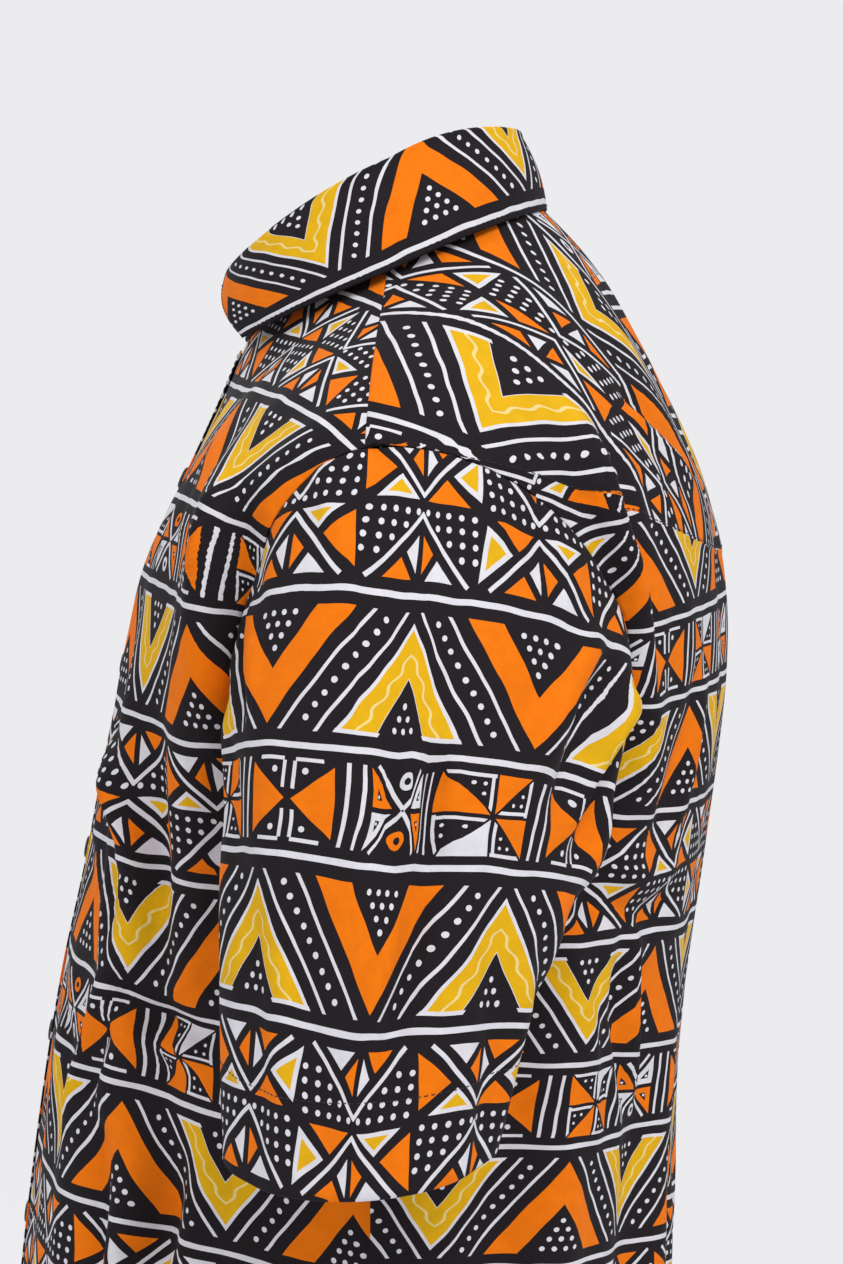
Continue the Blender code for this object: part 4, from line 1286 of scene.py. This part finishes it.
def printed_cotton():
    """Plain-weave cotton, wax printed through: dry and matt, with a faint nap and slightly uneven dye."""
    colours = bpy.context.scene.shirt_print
    cotton, tree, shader = shader_material(
        "wax_printed_cotton", Roughness=0.82, Sheen_Weight=0.02, Sheen_Roughness=0.5, Specular_IOR_Level=0.14
    )
    place = add(tree, "VectorMath:SCALE", add(tree, "UVMap", uv_map=PRINT_LAYER), None, None, 1000.0)
    wander = add(tree, "TexNoise", place, None, 1 / WANDER_SIZE, 0.0, 0.5, output="Color")
    wander = add(tree, "VectorMath:SUBTRACT", wander, (0.5, 0.5, 0.5))
    ink = print_ink(tree, add(tree, "VectorMath:MULTIPLY_ADD", wander, (HAND_WANDER,) * 3, place))
    inks = add(tree, "ValToRGB", add(tree, "Math:MULTIPLY_ADD", ink, 1 / INKS, 0.5 / INKS))
    steps = [colours.black, colours.white, colours.orange, colours.yellow, colours.cream]
    sharp_steps(inks.node, [(i / INKS, colour) for i, colour in enumerate(steps)])
    dye = add(tree, "TexNoise", place, None, 1 / DYE_SIZE, 3.0, 0.6)
    shade = add(tree, "MapRange", dye, 0.3, 0.7, 0.93, 1.05)
    tree.links.new(add(tree, "VectorMath:SCALE", inks, None, None, shade), shader.inputs["Base Color"])
    # Threads lie about 0.4 mm apart, too fine to show from a step away, so they are drawn 1 mm apart
    wave = add(tree, "VectorMath:SCALE", place, None, None, 2 * math.pi / THREAD_PITCH)
    weft, warp = (add(tree, "Math:SINE", add(tree, "SeparateXYZ", wave, output=name)) for name in "XY")
    weave = add(tree, "Math:MULTIPLY", add(tree, "Math:MULTIPLY", weft, warp), WEAVE_HEIGHT)
    rumple = add(tree, "TexNoise", place, None, 1 / RUMPLE_SIZE, 3.0, 0.55)
    height = add(tree, "Math:MULTIPLY_ADD", rumple, RUMPLE_HEIGHT, weave)
    tree.links.new(add(tree, "Bump", 0.7, 1.0, None, height), shader.inputs["Normal"])
    return cotton


def cast_resin():
    """Button resin, cast and tumbled: near-black, smooth but not glossy, with a faint marbling."""
    resin, tree, shader = shader_material("cast_button_resin", Roughness=0.34, IOR=1.54, Coat_Weight=0.15)
    place = add(tree, "TexCoord", output="Object")
    cloud = add(tree, "TexNoise", place, None, RESIN_CLOUDS, 3.0, 0.6)
    light, dark = linear("3a3431"), linear("17151a")
    tint = add(tree, "Mix", cloud, None, None, None, None, None, dark, light, data_type="RGBA")
    tree.links.new(tint, shader.inputs["Base Color"])
    rough = add(tree, "MapRange", cloud, 0.3, 0.7, 0.28, 0.42)
    tree.links.new(rough, shader.inputs["Roughness"])
    return resin


def spun_thread():
    """Spun polyester sewing thread, dyed black: matt, with its plies just showing as a twist."""
    thread, tree, shader = shader_material("spun_polyester_thread", Roughness=0.7, Sheen_Weight=0.1)
    place = add(tree, "TexCoord", output="Object")
    twist = add(tree, "TexWave", place, THREAD_TWISTS, 1.5, wave_type="BANDS", bands_direction="DIAGONAL")
    dark, light = linear("141217"), linear("2c2830")
    tint = add(tree, "Mix", twist, None, None, None, None, None, dark, light, data_type="RGBA")
    tree.links.new(tint, shader.inputs["Base Color"])
    return thread


def matt_paper():
    """Seamless studio paper: pale, matt and even, fading out at its edge into the light round it."""
    paper, tree, shader = shader_material("seamless_paper", Roughness=0.9)
    look = bpy.context.scene.shirt_stage
    shader.inputs["Base Color"].default_value = list(look.backdrop) + [1.0]
    place = add(tree, "TexCoord", output="Object")
    reach = add(tree, "VectorMath:LENGTH", place)
    start, end = (FLOOR_RADIUS * share for share in FLOOR_FADE)
    fade = add(tree, "MapRange", reach, start, end, 0.0, 1.0)
    clear = add(tree, "BsdfTransparent")
    joined = add(tree, "MixShader", fade, shader.outputs[0], clear)
    tree.links.new(joined, tree.nodes["Material Output"].inputs["Surface"])
    return paper


def finish(name, make):
    """A material, made once."""
    return bpy.data.materials.get(name) or make()


class ShirtClothSettings(bpy.types.PropertyGroup):
    """How thick the shirt's cloth is."""

    wall: bpy.props.FloatProperty(
        name="Cloth", description="Thickness of the body's and sleeves' cloth", default=0.0009, unit="LENGTH"
    )
    collar_wall: bpy.props.FloatProperty(
        name="Collar", description="Thickness of the lined collar", default=0.0015, unit="LENGTH"
    )


class ShirtPrintColours(bpy.types.PropertyGroup):
    """The inks of the print."""

    black: bpy.props.FloatVectorProperty(
        name="Black", description="The print's ground", subtype="COLOR", size=3, default=linear("211c20")[:3]
    )
    white: bpy.props.FloatVectorProperty(
        name="White", description="Lines and dots", subtype="COLOR", size=3, default=linear("e6e4ea")[:3]
    )
    orange: bpy.props.FloatVectorProperty(
        name="Orange", description="Broad Vs and triangles", subtype="COLOR", size=3,
        default=linear("fa7d06")[:3],
    )
    yellow: bpy.props.FloatVectorProperty(
        name="Yellow", description="Arrows and edged triangles", subtype="COLOR", size=3,
        default=linear("ecb613")[:3],
    )
    cream: bpy.props.FloatVectorProperty(
        name="Cream", description="The wandering line in the arrows", subtype="COLOR", size=3,
        default=linear("f5dd92")[:3],
    )


class ShirtStageSettings(bpy.types.PropertyGroup):
    """The studio round the shirt."""

    backdrop: bpy.props.FloatVectorProperty(
        name="Backdrop", description="The pale studio behind and below", subtype="COLOR", size=3,
        default=linear("f0f0f3")[:3],
    )
    key: bpy.props.FloatProperty(
        name="Key light", description="Power of the large soft light", default=34.0, unit="POWER"
    )


def placed_print(cut, panel_name):
    """The print's coordinates, in metres, for a panel's flat points.

    The body and the collar are cut with the cloth turned round, and the sleeves with it the right way up.
    """
    across, down, lean, fall, bow, more_bow, wide, high, above, pinch, turn = PRINT_PLACES[panel_name]
    x, y = cut[..., 0] * 1000 - across, cut[..., 1] * 1000 - down
    x -= lean * y
    aside = (np.hypot(x, BOW_ROUNDNESS) - BOW_ROUNDNESS) / 100
    y -= fall * x + (bow + more_bow * y / 100) * aside
    near = (x**2 + (cut[..., 1] * 1000 - TUCK_DOWN) ** 2) / TUCK_REACH**2
    x += (pinch + TUCKS.get(panel_name, 0.0) * np.exp(-near)) * x / np.hypot(x, PINCH_WIDTH)
    return np.stack([x / wide, y / np.where(y * turn < 0, above, high)], -1) * turn / 1000


def yoke_print(cut):
    """The yoke's print coordinates, in metres: rows down it, with an arrow's middle on each shoulder."""
    x, y = cut[..., 0] * 1000, cut[..., 1] * 1000
    outward = x * np.exp((y - YOKE_LEVEL) / YOKE_SPREAD)
    along = y - x**2 / (2 * YOKE_SPREAD)
    far = SHOULDER_START + SHOULDER_REACH
    middle, shoulder = 2 * SHOULDER_START / MIDDLE_GROWTH, SHOULDER_REACH / SHOULDER_GROWTH
    places = (-far, -SHOULDER_START, SHOULDER_START, far)
    rows = YOKE_ROW + np.array((-shoulder, 0.0, middle, middle + shoulder))
    across = HALF_PERIOD + (YOKE_ARROW - along) / YOKE_GROWTH
    return np.stack([across, np.interp(outward, places, rows)], -1) / 1000


def line_at(values, level, *grids):
    """Where values, which fall down each column of a grid, reach a level: each given grid's points there."""
    columns = range(values.shape[1])
    return [
        np.array([[np.interp(-level, -values[:, j], grid[:, j, k]) for k in range(3)] for j in columns])
        for grid in grids
    ]


def stitches_along(path, out):
    """Where stitches go down and come up along a path: starts, ends and the way out of the cloth."""
    total = np.concatenate([[0], np.cumsum(np.linalg.norm(np.diff(path, axis=0), axis=1))])
    starts = np.arange(STITCH_GAP, total[-1] - STITCH_LENGTH, STITCH_LENGTH + STITCH_GAP)
    at_start, at_end, way = (
        np.stack([np.interp(starts + on * STITCH_LENGTH, total, line[:, k]) for k in range(3)], 1)
        for on, line in ((0.0, path), (1.0, path), (0.5, out))
    )
    return at_start, at_end, unit(way)


def edge_stitches(grid, inset, margin=0):
    """A row of stitches this far above a grid's last row, with so many points left free at its ends."""
    path, way = line_at(edge_distance(grid), inset, grid, normals(grid))
    middle = slice(margin, len(path) - margin)
    return stitches_along(path[middle], way[middle])


def stitches_at(seat, places):
    """Single stitches from place to place, in a button's own coordinates."""
    seat = np.array(seat)
    ways = seat[:3, :3].T
    starts, ends = (seat[:3, 3] + np.array(points) @ ways for points in zip(*places))
    return starts, ends, np.broadcast_to(ways[2], starts.shape)


def thread_object(name, runs, radius=THREAD_RADIUS):
    """A piece of many stitches: each a short thread that dips into the cloth at both its ends."""
    starts, ends, outs = (np.concatenate(values) for values in zip(*runs))
    shares = np.array((0.0, 0.14, 0.5, 0.86, 1.0))
    heights = np.array((-STITCH_SINK, radius * 0.3, radius * 0.7, radius * 0.3, -STITCH_SINK))
    sizes = np.array((0.5, 1.0, 1.0, 1.0, 0.5)) * radius
    turns = np.arange(THREAD_SIDES) * 2 * np.pi / THREAD_SIDES
    along = unit(ends - starts)
    side = unit(np.cross(outs, along))
    up = np.cross(along, side)
    centre = starts[:, None] + (ends - starts)[:, None] * shares[:, None] + up[:, None] * heights[:, None]
    spoke = side[:, None] * np.cos(turns)[:, None] + up[:, None] * np.sin(turns)[:, None]
    vertices = (centre[:, :, None] + spoke[:, None] * sizes[:, None, None]).reshape(-1, 3)
    place = np.arange(len(vertices)).reshape(len(starts), len(shares), THREAD_SIDES)
    turned = np.roll(place, -1, axis=2)
    sides = np.stack([place[:, :-1], turned[:, :-1], turned[:, 1:], place[:, 1:]], -1).reshape(-1, 4)
    caps = np.concatenate([place[:, 0, ::-1], place[:, -1]])
    mesh = bpy.data.meshes.new(name)
    mesh.from_pydata(vertices.tolist(), [], sides.tolist() + caps.tolist())
    mesh.shade_smooth()
    mesh.materials.append(finish("spun_polyester_thread", spun_thread))
    thread = new_object(name, mesh)
    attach(thread, "root")
    return thread


def cloth_piece(node, points, cut, thickness, creases=(), upper_print=None):
    """A cloth piece in the print, standing for its solid."""
    cotton = finish("wax_printed_cotton", printed_cotton)
    places = placed_print(gathered(cut, creases), node)
    piece = shell_object(f"shirt_{node}", points, places, thickness, cotton, upper_print)
    dress(piece, node)
    declare_sheet(cut)


def creases_on(side, creases):
    """Creases of the left side (1), or mirrored for the right (-1)."""
    return [(np.array(path) * (side, 1), width, height) for path, width, height in creases]


def band_calm(across):
    """The button band is stiff: creases die away before they reach it."""
    return smooth((np.abs(across) - CALM_START) / CALM_REACH)


class SHIRT_OT_fronts(bpy.types.Operator):
    """Make both fronts and the button band, with their hems and stitching"""

    bl_idname = "shirt.fronts"
    bl_label = "Fronts"

    def execute(self, context):
        left, cut, thickness = panel(front_left_grid(), BAND_COLUMNS // 2, FRONT_CREASES, BODY_HEM, band_calm)
        cloth_piece("front_left", left, cut, thickness, FRONT_CREASES)
        mirrored = creases_on(-1, FRONT_CREASES)
        centre = FRONT_COLUMNS + BAND_COLUMNS // 2
        right, right_cut, thickness = panel(front_right_grid(), centre, mirrored, BODY_HEM, band_calm)
        cloth_piece("front_right", right, right_cut, thickness, mirrored)
        first = int(np.searchsorted(panel_lines()[0], BAND_TOP_ROW))
        on_band = np.s_[first:, : BAND_COLUMNS + 1]
        band = (left + normals(left) * (CLOTH + LAYER_GAP))[on_band]
        wall = np.full(band.shape[:2], context.scene.shirt_cloth.wall)
        cloth_piece("front_band", band, cut[on_band], wall)
        runs = [edge_stitches(grid, BODY_HEM) for grid in (left[:, BAND_COLUMNS:], right)]
        inset = BAND_STITCH / BAND_WIDTH * BAND_COLUMNS
        for column in (inset, BAND_COLUMNS - inset):
            path, way = (through(grid.swapaxes(0, 1), [column])[0] for grid in (band, normals(band)))
            runs.append(stitches_along(path, way))
        runs.append(edge_stitches(band, BODY_HEM))
        thread_object("front_stitching", runs)
        return {"FINISHED"}


class SHIRT_OT_back(bpy.types.Operator):
    """Make the back, with its hem and stitching"""

    bl_idname = "shirt.back"
    bl_label = "Back"

    def execute(self, context):
        points, cut, thickness = panel(back_grid(), BACK_COLUMNS // 2, BACK_CREASES, BODY_HEM)
        out = normals(points)
        # The yoke laps over the top of the back
        points[: YOKE_LINE + 1] += out[: YOKE_LINE + 1] * YOKE_STEP
        cloth_piece("back", points, cut, thickness, BACK_CREASES, (YOKE_LINE, yoke_print(cut)))
        runs = [edge_stitches(points, BODY_HEM)]
        line_gap = np.linalg.norm(points[YOKE_LINE] - points[YOKE_LINE - 1], axis=-1).mean()
        path, way = (through(grid, [YOKE_LINE - YOKE_STITCH / line_gap])[0] for grid in (points, out))
        runs.append(stitches_along(path[1:-1], way[1:-1]))
        thread_object("back_stitching", runs)
        return {"FINISHED"}


class SHIRT_OT_sleeves(bpy.types.Operator):
    """Make both sleeves, with their turned cuffs and stitching"""

    bl_idname = "shirt.sleeves"
    bl_label = "Sleeves"

    def execute(self, context):
        runs = []
        for name, side in (("left", 1), ("right", -1)):
            creases = creases_on(side, SLEEVE_CREASES)
            points, cut, thickness = panel(sleeve_grid(side), SLEEVE_COLUMNS // 2, creases, CUFF_HEM)
            cloth_piece(f"sleeve_{name}", points, cut, thickness, creases)
            runs.append(edge_stitches(points, CUFF_HEM))
        thread_object("cuff_stitching", runs)
        return {"FINISHED"}


class SHIRT_OT_collar(bpy.types.Operator):
    """Make the collar's stand and its fall, with their stitching"""

    bl_idname = "shirt.collar"
    bl_label = "Collar"

    def execute(self, context):
        wall = context.scene.shirt_cloth.collar_wall
        stand, fall = stand_grid(), fall_grid()
        runs = []
        for name, points, inset in (("stand", stand, STAND_STITCH), ("fall", fall, COLLAR_STITCH)):
            cloth_piece(f"collar_{name}", points, collar_places(points), np.full(points.shape[:2], wall))
            runs.append(edge_stitches(points, inset, COLLAR_MARGIN))
        # Then down both front ends of the fall, from where it has turned over
        turned_down = FALL_LINES * len(ROLL_STEPS) // (len(ROLL_STEPS) + FALL_ROWS)
        for order in (1, -1):
            turned = np.s_[turned_down:-COLLAR_MARGIN, ::order]
            inward, out = (values[turned].swapaxes(0, 1) for values in (fall, normals(fall)))
            far = edge_distance(inward[::-1])[::-1]
            runs.append(stitches_along(*line_at(-far, -COLLAR_STITCH, inward, out)))
        thread_object("collar_stitching", runs)
        return {"FINISHED"}


def collar_places(points):
    """A collar piece's own places: along it from the centre back, and down from its first row."""
    middle = points[points.shape[0] * 2 // 3]
    along = np.concatenate([[0], np.cumsum(np.linalg.norm(np.diff(middle, axis=0), axis=1))])
    along -= along[-1] / 2
    down = edge_distance(points)
    return np.stack([np.broadcast_to(along, down.shape), down.mean(1).max() - down], -1)


def button_mesh():
    """A four-hole button: a dished face inside a rounded rim, its holes bored through."""
    profile = bpy.data.meshes.new("button_profile")
    edges = [(i, i + 1) for i in range(len(BUTTON_OUTLINE) - 1)]
    profile.from_pydata([(radius, 0.0, height) for radius, height in BUTTON_OUTLINE], edges, [])
    turned = new_object("turned_button", profile)
    turn = turned.modifiers.new("Turn", "SCREW")
    turn.steps = turn.render_steps = BUTTON_SIDES
    turn.use_merge_vertices = True
    turn.merge_threshold = 0.00001
    drills = []
    for i in range(4):
        angle = math.radians(45 + 90 * i)
        bpy.ops.mesh.primitive_cylinder_add(
            vertices=20, radius=HOLE_RADIUS, depth=0.01,
            location=(HOLE_PLACE * math.cos(angle), HOLE_PLACE * math.sin(angle), 0.0),
        )
        drill = bpy.context.object
        bored = turned.modifiers.new("Hole", "BOOLEAN")
        bored.operation = "DIFFERENCE"
        bored.object = drill
        drills.append(drill)
    evaluated = turned.evaluated_get(bpy.context.evaluated_depsgraph_get())
    mesh = bpy.data.meshes.new_from_object(evaluated)
    for unneeded in drills + [turned]:
        bpy.data.objects.remove(unneeded)
    mesh.name = "button"
    mesh.shade_smooth()
    mesh.set_sharp_from_angle(angle=math.radians(50))
    mesh.materials.clear()
    mesh.materials.append(finish("cast_button_resin", cast_resin))
    return mesh


def button_seat(node):
    """A button's place: the middle of its solid's underside, as a matrix whose Z points out of the cloth."""
    points = np.array([vertex.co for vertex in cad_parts[node].data.vertices])
    middle = points.mean(0)
    axis = np.linalg.svd(points - middle, full_matrices=False)[2][-1]
    out = axis * math.copysign(1, axis @ (middle * (1, 1, 0)))
    low, high = ((points - middle) @ out).min(), ((points - middle) @ out).max()
    seat = Vector(middle + out * (low + (high - low - BUTTON_HEIGHT) / 2))
    across = Vector((1, 0, 0))
    up = Vector(out).cross(across).normalized()
    across = up.cross(Vector(out)).normalized()
    turn = Matrix((across, up, Vector(out))).transposed().to_4x4()
    return Matrix.Translation(seat) @ turn


class SHIRT_OT_buttons(bpy.types.Operator):
    """Make the buttons, the thread through their holes, and the stitched buttonholes"""

    bl_idname = "shirt.buttons"
    bl_label = "Buttons"

    def execute(self, context):
        mesh = button_mesh()
        offset = HOLE_PLACE * math.sqrt(0.5)
        strands = [
            [(across + strand, end, BUTTON_THREAD_LEVEL) for end in (-offset, offset)]
            for across in (-offset, offset)
            for strand in (-STRAND_GAP, 0.0, STRAND_GAP)
        ]
        hole_edges = [
            [(side * reach, up, BUTTONHOLE_LEVEL) for reach in (BUTTONHOLE_SLIT, BUTTONHOLE_BITE)]
            for up in np.linspace(-BUTTONHOLE / 2, BUTTONHOLE / 2, BUTTONHOLE_STITCHES + 1)
            for side in (-1, 1)
        ]
        threads, holes = [], []
        for node in sorted(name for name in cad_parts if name.startswith("button_")):
            seat = button_seat(node)
            button = new_object(f"shirt_{node}", mesh)
            button.matrix_world = seat
            dress(button, node)
            threads.append(stitches_at(seat, strands))
            if node != "button_collar":
                holes.append(stitches_at(seat, hole_edges))
        thread_object("button_thread", threads, BUTTON_THREAD_RADIUS)
        thread_object("buttonhole_stitching", holes)
        return {"FINISHED"}


class SHIRT_OT_stage(bpy.types.Operator):
    """Make the pale floor, the soft light and the camera at the photograph's angle"""

    bl_idname = "shirt.stage"
    bl_label = "Stage"

    def execute(self, context):
        look = context.scene.shirt_stage
        bpy.ops.mesh.primitive_circle_add(
            vertices=FLOOR_SIDES, radius=FLOOR_RADIUS, fill_type="NGON", location=(0, 0, FLOOR_Z)
        )
        floor = context.object
        floor.name = "studio_floor"
        floor.data.materials.append(matt_paper())
        context.scene.view_settings.view_transform = "Standard"
        world = bpy.data.worlds.new("studio")
        world.use_nodes = True
        background = world.node_tree.nodes["Background"]
        background.inputs["Color"].default_value = list(look.backdrop) + [1.0]
        # The backdrop is brighter than the light that it gives, as a lit paper behind the shirt is
        seen = add(world.node_tree, "LightPath", output="Is Camera Ray")
        strength = add(world.node_tree, "MapRange", seen, 0.0, 1.0, AMBIENT_STRENGTH, BACKDROP_STRENGTH)
        world.node_tree.links.new(strength, background.inputs["Strength"])
        context.scene.world = world
        for name, azimuth, elevation, distance, size, share in SOFT_LIGHTS:
            light = bpy.data.lights.new(name, "AREA")
            light.shape = "DISK"
            light.size = size
            light.energy = look.key * share
            aim(new_object(name, light), azimuth, elevation, distance)
        lens = bpy.data.cameras.new("photo_camera")
        lens.lens = CAMERA_LENS
        lens.sensor_width = CAMERA_SENSOR
        camera = new_object("photo_camera", lens)
        aim(camera, CAMERA_AZIMUTH, CAMERA_ELEVATION, CAMERA_DISTANCE)
        context.scene.camera = camera
        return {"FINISHED"}


def aim(thing, azimuth, elevation, distance):
    """Places a lamp or the camera this far from the target, pointing at it. Azimuth 90 is the left side."""
    turn, rise = math.radians(azimuth), math.radians(elevation)
    away = Vector((math.sin(turn) * math.cos(rise), -math.cos(turn) * math.cos(rise), math.sin(rise)))
    thing.location = Vector(TARGET) + away * distance
    thing.rotation_mode = "QUATERNION"
    thing.rotation_quaternion = away.to_track_quat("Z", "Y")


class SHIRT_PT_panel(bpy.types.Panel):
    """The shirt's steps and settings, in the 3D view's sidebar"""

    bl_idname = "SHIRT_PT_panel"
    bl_label = "Print shirt"
    bl_space_type = "VIEW_3D"
    bl_region_type = "UI"
    bl_category = "Shirt"

    def draw(self, context):
        scene = context.scene
        for settings in (scene.shirt_cloth, scene.shirt_print, scene.shirt_stage):
            for name in settings.__annotations__:
                self.layout.prop(settings, name)
        for operator in OPERATORS:
            self.layout.operator(operator.bl_idname)


OPERATORS = (
    SHIRT_OT_fronts, SHIRT_OT_back, SHIRT_OT_sleeves, SHIRT_OT_collar, SHIRT_OT_buttons, SHIRT_OT_stage,
)
SETTINGS = {
    "shirt_cloth": ShirtClothSettings,
    "shirt_print": ShirtPrintColours,
    "shirt_stage": ShirtStageSettings,
}


def register():
    for kind in (*SETTINGS.values(), *OPERATORS, SHIRT_PT_panel):
        bpy.utils.register_class(kind)
    for name, kind in SETTINGS.items():
        setattr(bpy.types.Scene, name, bpy.props.PointerProperty(type=kind))


def unregister():
    for name in SETTINGS:
        delattr(bpy.types.Scene, name)
    for kind in reversed((*SETTINGS.values(), *OPERATORS, SHIRT_PT_panel)):
        bpy.utils.unregister_class(kind)


def main():
    """Makes the whole scene."""
    register()
    for operator in OPERATORS:
        group, name = operator.bl_idname.split(".")
        getattr(getattr(bpy.ops, group), name)()


if __name__ == "__main__":
    main()
